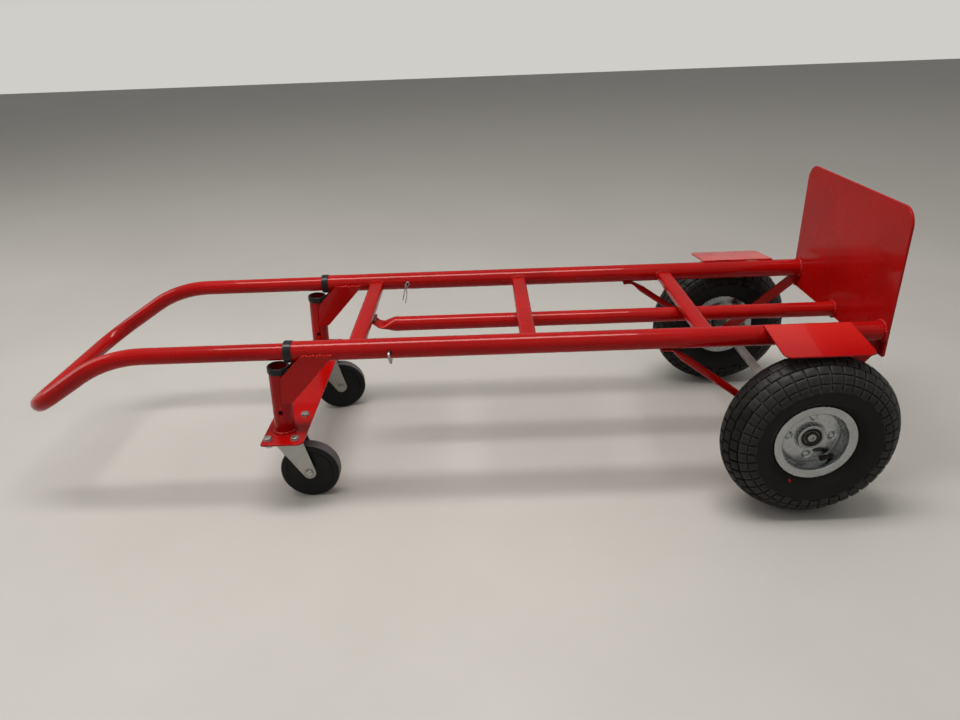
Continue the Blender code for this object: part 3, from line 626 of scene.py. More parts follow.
def build_toe_plate():
    low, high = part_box("toe_plate")
    corners = ((low.y, low.z), (high.y, low.z), (high.y, high.z), (low.y, high.z))
    outline = fillet(corners, (0.004, 0.004, 0.028, 0.028), 14)
    place = at(low.x, 0, 0) @ turned(90, "Z") @ turned(90, "X")
    Shape().plate(outline, high.x - low.x, place, 0.0007).done("toe_board", RED, "toe_plate")
    welds = Shape()
    tube_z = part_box("center_tube")[0].z + CENTRE_R
    for y, z, radius in ((RAIL_Y, RAIL_Z, RAIL_R), (-RAIL_Y, RAIL_Z, RAIL_R),
                         (0, tube_z, CENTRE_R)):
        path = [(low.x - 0.0007, y + (radius + 0.0007) * c, z + (radius + 0.0007) * s)
                for c, s in circle(48)]
        welds.bead([*path, path[0]], 0.0025, 0.004)
        for _ in range(12):
            angle, reach = chance.uniform(0, TAU), radius + chance.uniform(0.004, 0.016)
            spot = (low.x, y + reach * math.cos(angle), z + reach * math.sin(angle))
            if spot[2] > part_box("toe_plate")[0].z + 0.002 and abs(spot[1]) < high.y - 0.002:
                welds.dot(spot, chance.uniform(0.0003, 0.0006))
    welds.done("welds_toe_board", RED)


def build_guards():
    """Flat mudguards that droop outwards from the top of each rail."""
    lift = RAIL_R + 0.0003
    for label, sign in SIDES:
        node = f"wheel_guard_{label}"
        low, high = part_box(node)
        length = high.x - low.x
        corners = ((0, 0.001), (length, 0.001), (length, GUARD_REACH), (0, GUARD_REACH))
        outline = fillet(corners, (0.0006, 0.0006, 0.012, 0.012), 10)
        if sign < 0:
            outline = [Vector((p.x, -p.y)) for p in reversed(outline)]
        y = sign * (RAIL_Y + lift * math.sin(GUARD_DROOP))
        z = RAIL_Z + lift * math.cos(GUARD_DROOP)
        place = at(low.x, y, z) @ Matrix.Rotation(-sign * GUARD_DROOP, 4, "X")
        Shape().plate(outline, SHEET, place).done(f"guard_{label}", RED, node)
        weld = Shape()
        for start, end in ((0.0, 0.026), (0.052, 0.08), (0.106, length)):
            for out, up, size in ((-0.0002, 0.0006, 0.0017), (0.0055, -0.0012, 0.0015)):
                ends = [(low.x + x, y + sign * out, z + up) for x in (start, end)]
                weld.bead(ends, size)
        weld.done(f"weld_guard_{label}", RED)


def build_strut(label, sign):
    """A round strut, pressed flat and bent at its two ends."""
    axle = mid("main_axle")
    rise = (RAIL_Z - axle.z) * math.cos(BRACKET_LEAN)
    rise += (BRACKET_Y - RAIL_Y) * math.sin(BRACKET_LEAN)
    top_z = rise - RAIL_R - 0.0019
    top, foot = Vector((-0.198, 0, top_z - 0.002)), Vector((-0.0165, 0, -0.0155))
    slope, level = (foot - top).normalized(), Vector((1, 0, 0))
    middle = (slope + level).normalized()
    upper = smooth_sections([
        (Vector((-0.217, 0, top_z)), level, 0.0085, 0.0014),
        (Vector((-0.202, 0, top_z)), middle, 0.0083, 0.0014),
        (top + slope * 0.014, slope, 0.0068, 0.0046), (top + slope * 0.024, slope, 0.006, 0.006),
        (top + slope * 0.034, slope, 0.006, 0.006),
    ])
    lower = smooth_sections([
        (foot - slope * 0.052, slope, 0.006, 0.006), (foot - slope * 0.042, slope, 0.006, 0.006),
        (foot - slope * 0.026, slope, 0.0034, 0.0076),
        (foot - slope * 0.016, slope, 0.0014, 0.0088),
        (foot + slope * 0.001, slope, 0.0014, 0.0088),
        (foot + slope * 0.006, slope, 0.0014, 0.0055),
    ])
    inner = STRAP_THICK / 2 + 0.0017
    place = at(axle.x, sign * BRACKET_Y, axle.z) @ Matrix.Rotation(sign * BRACKET_LEAN, 4, "X")
    shape = Shape().pressed([*upper, *lower], place @ at(0, -sign * inner, 0), 32)
    shape.done(f"axle_strut_{label}_fine", RED, f"axle_strut_{label}")


def build_axle_carriers():
    for label, sign in SIDES:
        softened(f"axle_strap_{label}")
        build_strut(label, sign)
        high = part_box(f"axle_strap_{label}")[1]
        weld = Shape()
        rail_y = sign * RAIL_Y
        top = RAIL_Z - RAIL_R
        out = rail_y + sign * 0.003
        for ends in (((0.0004, 0.022), (0.0004, 0.001)), ((0.024, 0.0004), (0.002, 0.0004))):
            weld.bead([(high.x - back, out, top - down) for back, down in ends], 0.0017)
        tab_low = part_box(f"axle_strut_{label}")[0]
        y = rail_y + sign * 0.001
        corners = ((0.016, -1), (0, -1), (0, 1), (0.016, 1))
        path = [(tab_low.x + x, y + side * 0.0085, top - 0.0004) for x, side in corners]
        path = fillet(path, 0.006, 5, closed=False)
        weld.bead(path, 0.0014)
        weld.done(f"welds_axle_{label}", RED)


def build_axle():
    low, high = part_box("main_axle")
    radius, x, z = (high.z - low.z) / 2, mid("main_axle").x, mid("main_axle").z
    reach = max(abs(edge.y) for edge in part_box("bearing_outer_left")) + 0.0014
    place = at(x, 0, z) @ ALONG_Y
    shape = Shape()
    chamfer = [(0.0012, 0.0016), (0.0026, 0.0016), (0.0034, 0.0), (radius - 0.0022, 0.0),
               (radius - 0.0006, 0.0008), (radius, 0.0022)]
    profile = [(r, h - reach) for r, h in chamfer] + [(r, reach - h) for r, h in reversed(chamfer)]
    shape.turn(profile, place, 64, closed=False)
    shape.done("axle_bar", STEEL, "main_axle")
    for label, sign in SIDES:
        near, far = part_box(f"axle_spacer_{label}")
        start, end = sorted((abs(near.y), abs(far.y)))
        outer = (far.z - near.z) / 2
        outline = ((outer, start), (outer, end), (radius + 0.0002, end), (radius + 0.0002, start))
        side = place @ (Matrix.Identity(4) if sign > 0 else turned(180, "X"))
        shape = Shape().turn(fillet(outline, 0.0007), side, 64)
        shape.done(f"spacer_{label}", ZINC, f"axle_spacer_{label}")
        clip = [(0.0046, reach - 0.0012), (0.0104, reach - 0.0012), (0.0104, reach - 0.0004),
                (0.0078, reach - 0.0002), (0.0046, reach - 0.0002)]
        Shape().turn(clip, side, 48).done(f"axle_retainer_{label}", SEAL, slot="zinc_plate")


# ---------------------------------------------------------------- main wheels

TYRE_R, TYRE_HALF = 0.133, 0.043
TYRE_CURVE = (
    (TYRE_R, 0.0), (TYRE_R, 0.006), (0.129, 0.0165), (0.12, 0.03), (0.108, 0.0395),
    (0.093, TYRE_HALF), (0.077, 0.0395), (0.0662, 0.0292), (0.063, 0.025),
)


def tyre_envelope():
    """Samples of the tyre's half section: (distance from the crown, radius, height)."""
    line = smooth_line([(TYRE_R, -0.006), *TYRE_CURVE], 10)[10:]
    walked, samples = 0.0, []
    for i, point in enumerate(line):
        if i:
            walked += (point - line[i - 1]).length
        samples.append((walked, min(point.x, TYRE_R), min(point.y, TYRE_HALF)))
    return samples


ENVELOPE = tyre_envelope()


def on_tyre(distance, offset, angle):
    """A point on the tyre, at a signed distance from the crown, lifted by offset."""
    side = -1.0 if distance < 0 else 1.0
    reach = min(abs(distance), ENVELOPE[-1][0])
    for (s0, r0, h0), (s1, r1, h1) in zip(ENVELOPE, ENVELOPE[1:]):
        if reach <= s1:
            break
    part = (reach - s0) / (s1 - s0)
    radius, height = r0 + (r1 - r0) * part, h0 + (h1 - h0) * part
    normal = Vector((h1 - h0, r0 - r1)).normalized()
    radius += normal.x * offset
    height = side * min(height + normal.y * offset, TYRE_HALF)
    return Vector((radius * math.cos(angle), radius * math.sin(angle), height))


TREAD_ROWS = (
    (-0.0066, 0.0066, 0.0, 0.82),
    (0.0086, 0.0206, 0.5, 0.82),
    (0.0226, 0.0352, 0.0, 0.82),
    (0.0374, 0.0498, 0.0, 0.82),
    (0.052, 0.0612, 0.0, 0.76),
)
SIDEWALL_RINGS = ((0.067, 0.0004, 0.0012), (0.085, 0.0006, 0.0014), (0.075, -0.0004, 0.0012))
LUGS = 42
GROOVE = 0.0036
FOOT = -GROOVE - 0.0006


def tread_block(shape, start, end, middle, half, place):
    """One raised block that follows the tyre, with rounded upper edges."""
    radius = on_tyre((start + end) / 2, 0, 0).x
    along, across = (
        ((low - lean, FOOT), (low, -0.0007), (low + soft, 0), (centre, 0), (high - soft, 0),
         (high, -0.0007), (high + lean, FOOT))
        for low, centre, high, soft, lean in (
            (start, (start + end) / 2, end, 0.0014, 0.0006),
            (middle - half, middle, middle + half, 0.0014 / radius, 0.0006 / radius),
        )
    )
    grid = []
    for distance, low in along:
        row = []
        for angle, drop in across:
            row.append(shape.bm.verts.new(place @ on_tyre(distance, min(low, drop), angle)))
        grid.append(row)
    for first, second in zip(grid, grid[1:]):
        for i in range(len(across) - 1):
            face = shape.bm.faces.new((first[i], first[i + 1], second[i + 1], second[i]))
            face.material_index = 1
    rim = [*grid[0], *[row[-1] for row in grid[1:-1]], *reversed(grid[-1]),
           *[row[0] for row in reversed(grid[1:-1])]]
    shape.bm.faces.new(rim).material_index = 1


def build_tyre(label, place):
    shape = Shape()
    width = ENVELOPE[-1][0]
    profile = []
    steps = 92
    for i in range(steps + 1):
        distance = width * (2 * i / steps - 1)
        depth = -GROOVE * min(1.0, max(0.0, (0.066 - abs(distance)) / 0.005))
        for ring, size, spread in SIDEWALL_RINGS:
            depth += size * max(0.0, 1 - (abs(abs(distance) - ring) / spread) ** 2)
        point = on_tyre(distance, min(depth, 0.0004), 0)
        profile.append((point.x, point.z))
    profile += [(0.052, 0.0246), (0.052, -0.0246)]
    slots = [2 if abs(width * (2 * i / steps - 1)) < 0.062 else 0 for i in range(len(profile))]
    shape.turn(profile, place, 168, slots=slots)
    for start, end, phase, fill in TREAD_ROWS:
        for number in range(LUGS):
            middle = TAU * (number + phase) / LUGS
            half = fill * math.pi / LUGS
            reach = end + (0.0034 if start > 0.05 and number % 2 else 0.0)
            tread_block(shape, start, reach, middle, half, place)
            if start > 0:
                tread_block(shape, -reach, -start, middle, half, place)
    shape.done(f"tyre_{label}", (TYRE, TREAD, GROOVES), f"tire_{label}", body=f"main_wheel_{label}")


def dent(x, y):
    """How far the pressed disc stands in or out at a point."""
    depth = 0.0
    for quarter in range(4):
        angle = math.radians(88 + 90 * quarter)
        away = math.hypot(x - 0.033 * math.cos(angle), y - 0.033 * math.sin(angle))
        depth -= 0.0016 * min(1.0, max(0.0, (0.0068 - away) / 0.001))
        depth += 0.0022 * min(1.0, max(0.0, (0.005 - away) / 0.0012))
    for angle in (math.radians(44), math.radians(212)):
        away = math.hypot(x - 0.0335 * math.cos(angle), y - 0.0335 * math.sin(angle))
        depth += 0.0004 * min(1.0, max(0.0, (0.0022 - away) / 0.0008))
    return depth


def build_rim(label, sign, place):
    middle = abs(mid(f"tire_{label}").y)
    low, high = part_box(f"rim_outer_{label}")
    flange_r = (high.z - low.z) / 2
    flange = max(abs(low.y), abs(high.y)) - middle
    disc, bearing_r = 0.006, 0.018
    outline = [
        (bearing_r, disc + 0.0065), (0.0203, disc + 0.0065), (0.022, disc - 0.0007),
        (0.0229, disc - 0.0007),
        *[(0.0236 + 0.0008 * i, disc) for i in range(24)],
        (0.0426, disc), (0.0431, disc - 0.0008), (0.044, disc - 0.0006), (0.0456, disc + 0.0022),
        (0.0474, flange - 0.0055), (0.049, flange - 0.0012),
        (0.0503, flange), (flange_r - 0.0008, flange), (flange_r, flange - 0.0008),
        (flange_r - 0.0002, flange - 0.0019), (0.052, flange - 0.0019), (0.0508, flange - 0.004),
        (0.0478, disc + 0.002), (0.0448, disc - 0.0018), (bearing_r, disc - 0.0018),
    ]
    soft = ([0.0006] * 2 + [0.0002] * 2 + [0.0] * 24 + [0.0002] * 3 + [0.0008] * 4
            + [0.0006] * 4 + [0.0003] * 5)
    outline = fillet(outline, soft[: len(outline)] + [0.0] * (len(outline) - len(soft)), 4)
    shape = Shape()
    ring = circle(192)
    loops = []
    for r, h in outline:
        pressed = 0.0234 < r < 0.0424 and abs(h - disc) < 0.0002
        loops.append([(r * c, r * s, h + (dent(r * c, sign * -r * s) if pressed else 0)) for c,
                      s in ring])
    shape.rings(loops, place, closed=True)
    shape.done(f"rim_face_{label}", RIM, f"rim_outer_{label}", body=f"main_wheel_{label}")
    disc = 0.0021
    outline = (
        (bearing_r, disc - 0.0065), (0.0203, disc - 0.0065), (0.0222, disc), (0.0436, disc),
        (0.0455, disc - 0.0025), (0.049, -flange + 0.0012), (0.0503, -flange),
        (flange_r - 0.0008, -flange), (flange_r, -flange + 0.0008),
        (flange_r - 0.0002, -flange + 0.0019),
        (0.052, -flange + 0.0019), (0.05, -flange + 0.004), (0.0478, disc - 0.002),
        (0.0448, disc + 0.0016), (bearing_r, disc + 0.0016),
    )
    shape = Shape().turn(fillet(outline, 0.0008), place, 128)
    shape.done(f"rim_back_{label}", RIM, f"rim_inner_{label}", body=f"main_wheel_{label}")


def build_bearings(label, place):
    centre = abs(mid(f"tire_{label}").y)
    for which in ("outer", "inner"):
        node = f"bearing_{which}_{label}"
        low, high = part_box(node)
        start, end = sorted(abs(edge.y) - centre for edge in (low, high))
        radius = (high.z - low.z) / 2
        face = [
            (radius, 0.0), (0.016, 0.0), (0.0156, -0.0012), (0.0113, -0.0012), (0.011, -0.0003),
            (0.0103, -0.0003), (0.01, -0.0016), (0.0084, -0.0016),
        ]
        outline = [(r, end + h) for r, h in face] + [(r, start - h) for r, h in reversed(face)]
        slots = [0, 0, 1, 0, 0, 0, 1, 1, 1, 0, 0, 0, 1, 0, 0, 0]
        shape = Shape().turn(outline, place, 72, slots=slots)
        shape.done(f"wheel_bearing_{which}_{label}", (STEEL, SEAL), node,
                   body=f"main_wheel_{label}")


def build_valve(label, sign, place):
    """A bent rubber stem with its cap, lying back along the rim's dish."""
    path = smooth_line([(0.0336, -0.0334, 0.014), (0.0302, -0.0322, 0.0152),
                        (0.024, -0.032, 0.0172),
                        (0.019, -0.0326, 0.0184), (0.0138, -0.033, 0.0192)], 7)
    path = [Vector((p.x, -sign * p.y, p.z)) for p in path]
    sizes = []
    for i in range(len(path)):
        part = i / (len(path) - 1)
        size = 0.0054 - 0.0018 * min(1.0, part / 0.16) if part < 0.58 else 0.0041
        if part > 0.62:
            size += 0.00022 * math.cos(i * math.pi)
        sizes.append(size if part < 0.93 else 0.003)
    sizes[-1] = 0.0018
    shape = Shape().sweep(path, sizes, place, 32)
    shape.done(f"valve_{label}", SEAL, f"valve_stem_{label}", body=f"main_wheel_{label}")


def build_main_wheels():
    for label, sign in SIDES:
        centre = mid(f"tire_{label}")
        place = at(*centre) @ turned(-sign * 90, "X")
        build_tyre(label, place)
        build_rim(label, sign, place)
        build_bearings(label, place)
        build_valve(label, sign, place)
    shape = Shape()
    angle = math.radians(-117.5)
    spot = at(*mid("tire_right")) @ turned(90, "X")
    rows = []
    for ring_radius, lift in ((0.003, 0.00005), (0.0027, 0.0005), (0.001, 0.0007)):
        row = []
        for c, s in circle(24):
            point = on_tyre(0.0905 + ring_radius * c, lift, angle + ring_radius * s / 0.0695)
            row.append(point)
        rows.append(row)
    shape.rings(rows, spot)
    shape.done("sidewall_dot", DOT, body="main_wheel_right")


# ---------------------------------------------------------------- caster end

base_low, base_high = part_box("caster_base_plate")
SOCKET_LEAN = 0.048
SOCKET_LENGTH, SOCKET_HOLE = 0.1125, 0.0388
FORK_INNER, FORK_SHEET, FORK_TRAIL, FORK_END_R = 0.0135, 0.0022, 0.029, 0.0112


def build_base():
    corners = ((base_low.x, base_low.y), (base_high.x, base_low.y), (base_high.x, base_high.y),
               (base_low.x, base_high.y))
    shape = Shape()
    outline = fillet(corners, (0.004, 0.011, 0.011, 0.004), 10)
    shape.plate(outline, base_high.z - base_low.z, at(0, 0, base_low.z), 0.0007)
    shape.done("base_plate", RED, "caster_base_plate")


def build_sockets():
    length = SOCKET_LENGTH
    for label, sign in SIDES:
        node = f"handle_socket_{label}"
        foot_x = mid(node).x - math.sin(SOCKET_LEAN) * length / 2
        place = at(foot_x, sign * RAIL_Y, base_high.z) @ Matrix.Rotation(SOCKET_LEAN, 4, "Y")
        shape = Shape()
        profile = tube_profile(RAIL_R, length - 0.0006, (0.0295, 0.0475))
        shape.turn(profile, place @ at(0, 0, 0.0006), 80)
        socket = shape.done(f"socket_{label}", RED, node)
        drill(socket, place @ at(0, 0, SOCKET_HOLE) @ ALONG_Y, 0.0037, 0.03)
        radius = 0.0174
        outline = (
            (0.0137, length + 0.0026), (radius - 0.001, length + 0.0026), (radius, length + 0.0014),
            (radius, length - 0.007), (radius - 0.0003, length - 0.008),
            (RAIL_R + 0.0001, length - 0.008),
            (RAIL_R + 0.0001, length + 0.0002), (0.0137, length + 0.0002),
        )
        shape = Shape().turn(fillet(outline, 0.0007), place)
        shape.done(f"cap_{label}", PLASTIC, f"socket_cap_{label}")
        welds = Shape()
        ring = [(RAIL_R + 0.0008) * Vector((c, s, 0)) for c, s in circle(40)]
        path = [place @ point for point in ring]
        for point in path:
            point.z = base_high.z + 0.0007
        welds.bead([*path, path[0]], 0.0028, 0.0044)
        for which in ("outer", "inner"):
            node = f"socket_gusset_{which}_{label}"
            softened(node)
            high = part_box(node)[1]
            y_rail = mid(node).y
            towards = math.copysign(0.0006, sign * RAIL_Y - y_rail)
            top = [(high.x - t * 0.05, y_rail + towards, high.z + 0.0003) for t in (0.02, 0.5, 1.0)]
            welds.bead(top, 0.0022, 0.0052, 0.0007)
            edge = [(-0.2503, y_rail + towards, 0.2285), (-0.254, y_rail + towards, 0.201),
                    (-0.2558, y_rail + towards, 0.1862)]
            welds.bead(edge, 0.0017)
            for _ in range(7):
                spot = (chance.uniform(high.x - 0.055, high.x + 0.01),
                        sign * RAIL_Y + math.copysign(RAIL_R * 0.93, y_rail - sign * RAIL_Y),
                        RAIL_Z + RAIL_R * 0.36 + chance.uniform(-0.001, 0.001))
                welds.dot(spot, chance.uniform(0.00025, 0.0005))
        welds.done(f"welds_socket_{label}", RED)


def hexagon(shape, place, across, bottom, top, chamfer):
    """Hex head or nut with its corners turned off."""
    loops = []
    for height, size in ((bottom, across * 0.97), (bottom + 0.0003, across),
                         (top - chamfer, across),
                         (top - chamfer * 0.4, across * 0.955), (top, across * 0.87)):
        loops.append([(size * c, size * s, height) for c, s in circle(6)])
    shape.rings(loops, place)


def build_bolts():
    for label, _ in SIDES:
        for number in range(1, 5):
            node = f"mount_bolt_{label}_{number}"
            low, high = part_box(node)
            centre = (low + high) / 2
            place = at(centre.x, centre.y, 0) @ turned(chance.uniform(0, 60), "Z")
            top = base_high.z
            shape = Shape()
            washer = ((0.0042, top + 0.0001), (0.0072, top + 0.0001), (0.0072, top + 0.0009),
                      (0.0042, top + 0.0009))
            shape.turn(fillet(washer, 0.0002), place, 40)
            hexagon(shape, place, 0.0069, top + 0.0009, high.z - 0.0001, 0.0012)
            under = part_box(f"caster_mount_plate_{label}")[1].z - SHEET
            hexagon(shape, place, 0.0069, under - 0.0005, low.z + 0.0016, -0.0008)
            thread = [(0.0006, low.z)]
            for step in range(7):
                height = low.z + 0.0004 + step * 0.0009
                thread += [(0.0035, height), (0.004, height + 0.00045)]
            thread += [(0.0035, high.z - 0.003), (0.0006, high.z - 0.003)]
            shape.turn(thread, place, 32, closed=False)
            shape.done(f"bolt_{label}_{number}", ZINC, node)


def fork_edges(height, top, trail, hub):
    """How far the fork's side reaches back and forward at one height."""
    radius = FORK_END_R
    back_top, front_top = -0.0215, 0.0245
    a = math.radians(222)
    b = math.radians(12)
    low_a = (trail + radius * math.cos(a), hub + radius * math.sin(a))
    low_b = (trail + radius * math.cos(b), hub + radius * math.sin(b))
    under = math.sqrt(max(0.0, radius ** 2 - (height - hub) ** 2))
    if height <= low_a[1]:
        back = trail - under
    else:
        part = min(1.0, (height - low_a[1]) / (top - 0.006 - low_a[1]))
        back = low_a[0] + (back_top - low_a[0]) * part
    if height <= low_b[1]:
        front = trail + under
    else:
        part = (height - low_b[1]) / (top - low_b[1])
        front = low_b[0] + (front_top - low_b[0]) * part
    return back, front


def build_fork(label, pivot, yaw):
    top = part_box(f"caster_fork_{label}")[1].z
    hub, trail = mid(f"caster_wheel_{label}").z, FORK_TRAIL
    inner, sheet, bend = FORK_INNER, FORK_SHEET, 0.0042
    centre_line = []
    foot = hub - FORK_END_R + 0.00002
    heights = [foot + 0.0224 * (1 - math.cos(math.pi * i / 32)) / 2 for i in range(16)]
    heights += [hub + (top - bend - hub) * i / 10 for i in range(0, 11)]
    outer = inner + sheet / 2
    for height in heights:
        centre_line.append((outer, height, 1.0, 0.0))
    for i in range(1, 8):
        angle = math.radians(90) * i / 7
        r = bend - sheet / 2
        centre_line.append((outer - r + r * math.cos(angle), top - bend + r * math.sin(angle),
                            math.cos(angle), math.sin(angle)))
    centre_line += [(-y, z, -ny, nz) for y, z, ny, nz in reversed(centre_line)]
    loops = []
    edge = 0.0005
    for y, z, ny, nz in centre_line:
        back, front = fork_edges(min(z, top - 0.0001), top, trail, hub)
        if front - back < 4 * edge:
            back, front = trail - 2 * edge, trail + 2 * edge
        half = sheet / 2
        section = [(back + edge, half), (front - edge, half), (front, half - edge),
                   (front, edge - half),
                   (front - edge, -half), (back + edge, -half), (back, edge - half),
                   (back, half - edge)]
        loops.append([(x, y + ny * out, z + nz * out) for x, out in section])
    place = at(pivot.x, pivot.y, 0) @ Matrix.Rotation(yaw, 4, "Z")
    shape = Shape()
    shape.rings(loops, place)
    for side in (-1, 1):
        ring = ((0.0046, 0.0), (0.0098, 0.0), (0.0094, 0.0005), (0.005, 0.0005))
        face = place @ at(trail, side * (inner + sheet - 0.0001), hub) @ turned(-90 * side, "X")
        shape.turn(ring, face, 48)
    shape.done(f"fork_{label}", ZINC, f"caster_fork_{label}", body=f"caster_fork_{label}")
    return place @ at(trail, 0, hub)


def build_mount(label, pivot):
    node = f"caster_mount_plate_{label}"
    low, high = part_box(node)
    corners = ((low.x, low.y), (high.x, low.y), (high.x, high.y), (low.x, high.y))
    shape = Shape()
    shape.plate(fillet(corners, 0.006, 8), SHEET, at(0, 0, high.z - SHEET), 0.0005)
    fork_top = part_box(f"caster_fork_{label}")[1].z
    race = [(0.006, fork_top + 0.0004), (0.0196, fork_top + 0.0004), (0.0206, fork_top + 0.0014),
            (0.0226, fork_top + 0.003), (0.0236, high.z - SHEET + 0.0002),
            (0.006, high.z - SHEET + 0.0002)]
    shape.turn(fillet(race, 0.0009), at(pivot.x, pivot.y, 0), 72, slots=1)
    king = [(0.0008, low.z), (0.0052, low.z), (0.0076, low.z + 0.001), (0.0084, low.z + 0.0034),
            (0.0048, low.z + 0.0036), (0.0048, fork_top + 0.001), (0.0008, fork_top + 0.001)]
    shape.turn(king, at(pivot.x, pivot.y, 0), 48, closed=False)
    shape.done(f"caster_head_{label}", (ZINC, YELLOW_ZINC), node)


def build_caster_wheel(label, sign, hub):
    place = hub @ turned(-sign * 90, "X")
    radius = span(f"caster_wheel_{label}").z / 2
    half = 0.0115
    face = (
        (0.005, half + 0.0011), (0.0104, half + 0.0011), (0.0118, half - 0.001),
        (0.015, half - 0.002),
        (0.034, half - 0.002), (0.0362, half - 0.0006), (0.038, half - 0.0001),
        (0.0386, half - 0.001),
        (0.0394, half - 0.0001), (radius - 0.003, half - 0.0002), (radius - 0.0008, half - 0.0016),
        (radius, half - 0.0045),
    )
    outline = [*face, (radius, 0.0), *[(r, -h) for r, h in reversed(face)]]
    slots = [0] * 9 + [0, 1, 1, 1, 1] + [0] * 11
    shape = Shape().turn(outline, place, 120, slots=slots)
    shape.done(f"caster_tyre_{label}", (CASTER_CORE, CASTER_TREAD), f"caster_wheel_{label}",
               body=f"caster_wheel_{label}")
    leg = FORK_INNER + FORK_SHEET + 0.0005
    head = [(0.0004, leg + 0.003), (0.0024, leg + 0.003), (0.003, leg + 0.0036),
            (0.0052, leg + 0.0036),
            (0.0066, leg + 0.0022), (0.0068, leg), (0.0042, leg - 0.0002)]
    shape = Shape()
    rod = [(0.0004, -leg - 0.0062), (0.0034, -leg - 0.0062), (0.0039, -leg - 0.0056),
           (0.0039, -leg - 0.0046)]
    rod += [(0.0066, -leg - 0.0046), (0.0066, -leg - 0.0002), (0.0039, -leg), *reversed(head)]
    shape.turn(rod, place, 48, closed=False)
    shape.done(f"caster_bolt_{label}", ZINC, f"caster_axle_{label}", body=f"caster_fork_{label}")


def build_casters():
    for label, sign in SIDES:
        plate = mid(f"caster_mount_plate_{label}")
        wheel = mid(f"caster_wheel_{label}")
        yaw = math.atan2(wheel.y - plate.y, wheel.x - plate.x)
        build_mount(label, plate)
        hub = build_fork(label, plate, yaw)
        build_caster_wheel(label, sign, hub)


# ---------------------------------------------------------------- handle and pins


def build_handle():
    low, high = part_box("push_handle")
    radius = HANDLE_R
    grip_x, grip_z = low.x + radius, low.z + radius
    bend_x = grip_x + (RAIL_Z - grip_z) / math.tan(math.radians(31.9))
    points = [(high.x, -RAIL_Y, RAIL_Z), (bend_x, -RAIL_Y, RAIL_Z), (grip_x, -RAIL_Y, grip_z)]
    points += [(x, -y, z) for x, y, z in reversed(points)]
    path = fillet(points, (0, 0.206, 0.0615, 0.0615, 0.206, 0), 18, closed=False)
    shape = Shape()
    ends = [path[0] + (path[0] - path[1]).normalized() * -0.0003, *path[1:-1],
            path[-1] + (path[-1] - path[-2]).normalized() * -0.0003]
    shape.sweep([path[0], *ends, path[-1]], [radius - 0.0003, *[radius] * len(ends),
                                             radius - 0.0003], count=56)
    handle = shape.done("handle_tube", RED, "push_handle", body="push_handle")
    slot = ((PIN_X - 0.004, -0.004), (high.x + 0.01, -0.004), (high.x + 0.01, 0.004),
            (PIN_X - 0.004, 0.004))
    for sign in (-1, 1):
        tool = Shape()
        tool.plate(slot, 0.06, at(0, sign * RAIL_Y + 0.03, RAIL_Z) @ turned(90, "X"), 0.0001)
        carve(handle, tool)


def build_pins():
    for label, sign in SIDES:
        axis = at(PIN_X, sign * RAIL_Y, RAIL_Z)
        outside, bend, radius = RAIL_R + 0.0035, 0.005, PIN_R
        inner = -(RAIL_R + 0.0135)
        points = ((0, sign * inner, 0), (0, sign * (outside + bend), 0),
                  (0.003, sign * (outside + bend), -0.015))
        path = fillet(points, bend, 12, closed=False)
        first, last = path[0], path[-1]
        ahead, back = (path[1] - first).normalized(), (path[-2] - last).normalized()
        path = [first, first + ahead * 0.0008, *path[1:-1], last + back * 0.0008, last]
        sizes = [radius - 0.0008, *[radius] * (len(path) - 2), radius - 0.0008]
        shape = Shape().sweep(path, sizes, axis, 32)
        pin = shape.done(f"pin_{label}", ZINC, f"lock_pin_{label}", body=f"lock_pin_{label}")
        hole = axis @ at(0, sign * (inner + 0.0045), 0) @ turned(15, "Y")
        drill(pin, hole, 0.0012, 0.01)
        loop_r, top = 0.003, 0.0038
        points = [(0, -0.032), (0, -0.014), (0, 0.0012), (0, 0.0026)]
        for i in range(8):
            angle = math.radians(180 - 200 * i / 7)
            points.append((loop_r + loop_r * math.cos(angle), top + loop_r * math.sin(angle)))
        points += [(0.0048, 0.0012), (0.004, -0.001), (0.0034, -0.004), (0.0024, -0.0085)]
        points += [(0.0046, -0.015), (0.006, -0.024), (0.0056, -0.036)]
        path = smooth_line([(x, 0, z) for x, z in points], 6)
        shape = Shape().sweep(path, [0.0005, *[0.0009] * (len(path) - 2), 0.0005], hole, 16)
        shape.done(f"clip_{label}", ZINC, f"pin_clip_{label}", body=f"lock_pin_{label}")


# ---------------------------------------------------------------- floor, light and camera

CAMERA = (0.0659, -1.1655, 0.7251)
CAMERA_TURN = (-0.467, 25.588, -2.168)  # yaw, pitch down and roll, in degrees
SENSOR, LENS = 36.0, 26.97  # in millimetres
FLOOR_HALF = 9


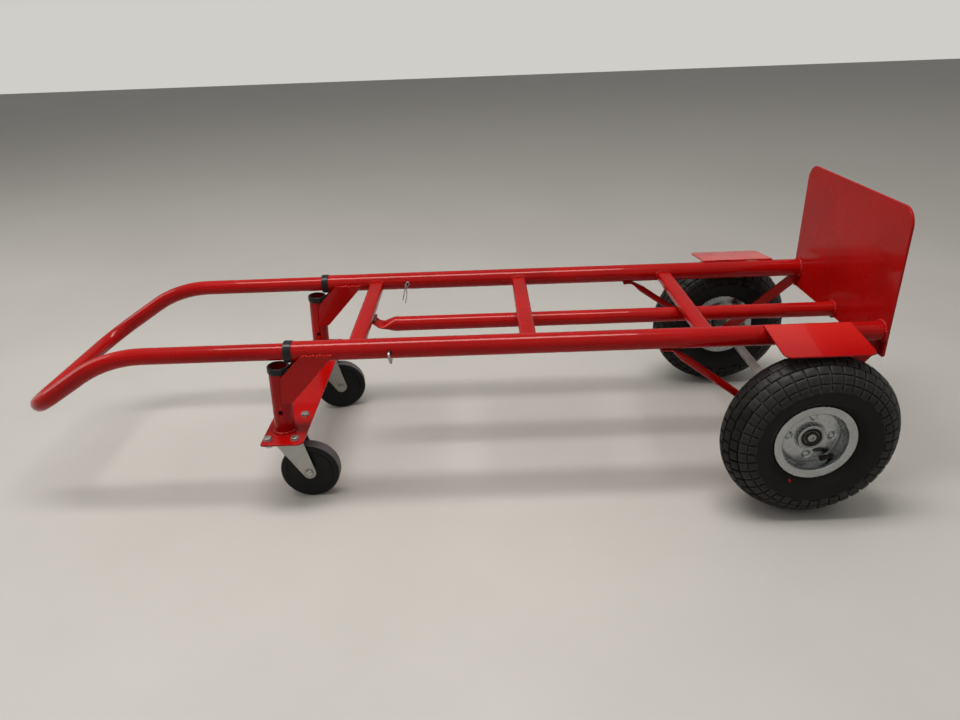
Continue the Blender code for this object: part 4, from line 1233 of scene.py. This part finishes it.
def build_stage():
    shape = Shape()
    corners = ((-1, -1), (1, -1), (1, 1), (-1, 1))
    shape.bm.faces.new(
        [shape.bm.verts.new((FLOOR_HALF * x, FLOOR_HALF * y, 0)) for x, y in corners]
    )
    mesh = bpy.data.meshes.new("floor")
    shape.bm.to_mesh(mesh)
    shape.bm.free()
    floor = add_object("floor", mesh)
    paint = Paint("pale_floor", roughness=0.5)
    cloud = paint.noise(1.6, 5.0, 0.6)
    paint.colour(paint.ramp(cloud, (0.3, (0.44, 0.427, 0.405)), (0.7, (0.48, 0.466, 0.445))))
    paint.rough(cloud, 0.42, 0.56)
    mesh.materials.append(paint.material)
    world = bpy.data.worlds.new("room")
    bpy.context.scene.world = world
    world.use_nodes = True
    tree = world.node_tree
    sky = tree.nodes["Background"]
    split = tree.nodes.new("ShaderNodeSeparateXYZ")
    tree.links.new(tree.nodes.new("ShaderNodeTexCoord").outputs["Generated"], split.inputs[0])
    fade = tree.nodes.new("ShaderNodeValToRGB")
    for point, position, colour in zip(
        fade.color_ramp.elements, (0.02, 0.28), ((0.62, 0.605, 0.575), (0.27, 0.265, 0.255))
    ):
        point.position, point.color = position, (*colour, 1.0)
    tree.links.new(split.outputs["Z"], fade.inputs[0])
    tree.links.new(fade.outputs[0], sky.inputs["Color"])
    lights = (
        ("softbox", (-0.2, -0.25, 2.4), 1.9, 0.6, 46.0, (1.0, 0.975, 0.93), (0, 0, 0)),
        ("ceiling_soft", (0.3, 0.5, 3.0), 8.0, 8.0, 62.0, (1.0, 0.98, 0.94), (0, 0, 0)),
        ("handle_side_soft", (-3.0, 0.6, 1.6), 1.6, 1.6, 20.0, (1.0, 0.98, 0.96),
         (0, math.radians(-68), 0)),
        ("front_soft", (0.0, -3.0, 1.9), 2.6, 1.2, 4.0, (1.0, 0.98, 0.96),
         (math.radians(60), 0, 0)),
    )
    for name, spot, width, depth, power, colour, turn in lights:
        lamp = bpy.data.lights.new(name, "AREA")
        lamp.shape, lamp.size, lamp.size_y = "RECTANGLE", width, depth
        lamp.energy, lamp.color = power, colour
        holder = add_object(name, lamp)
        holder.location, holder.rotation_euler = spot, turn


def build_camera():
    yaw, pitch, roll = (math.radians(angle) for angle in CAMERA_TURN)
    level = math.cos(pitch)
    ahead = Vector((math.sin(yaw) * level, math.cos(yaw) * level, -math.sin(pitch)))
    right = Vector((math.cos(yaw), -math.sin(yaw), 0))
    up = right.cross(ahead)
    side = math.cos(roll) * right + math.sin(roll) * up
    top = math.cos(roll) * up - math.sin(roll) * right
    lens = bpy.data.cameras.new("camera")
    lens.sensor_width, lens.lens = SENSOR, LENS
    camera = add_object("camera", lens)
    camera.matrix_world = Matrix((
        (side.x, top.x, -ahead.x, CAMERA[0]),
        (side.y, top.y, -ahead.y, CAMERA[1]),
        (side.z, top.z, -ahead.z, CAMERA[2]),
        (0, 0, 0, 1),
    ))
    bpy.context.scene.camera = camera
    bpy.context.scene.view_settings.view_transform = "Standard"
    bpy.context.scene.view_settings.exposure = 0.1
    bpy.context.scene.view_settings.gamma = 0.9


build_rails()
build_crossbars()
build_centre_tube()
build_toe_plate()
build_guards()
build_axle_carriers()
build_axle()
build_main_wheels()
build_base()
build_sockets()
build_bolts()
build_casters()
build_handle()
build_pins()
build_stage()
build_camera()
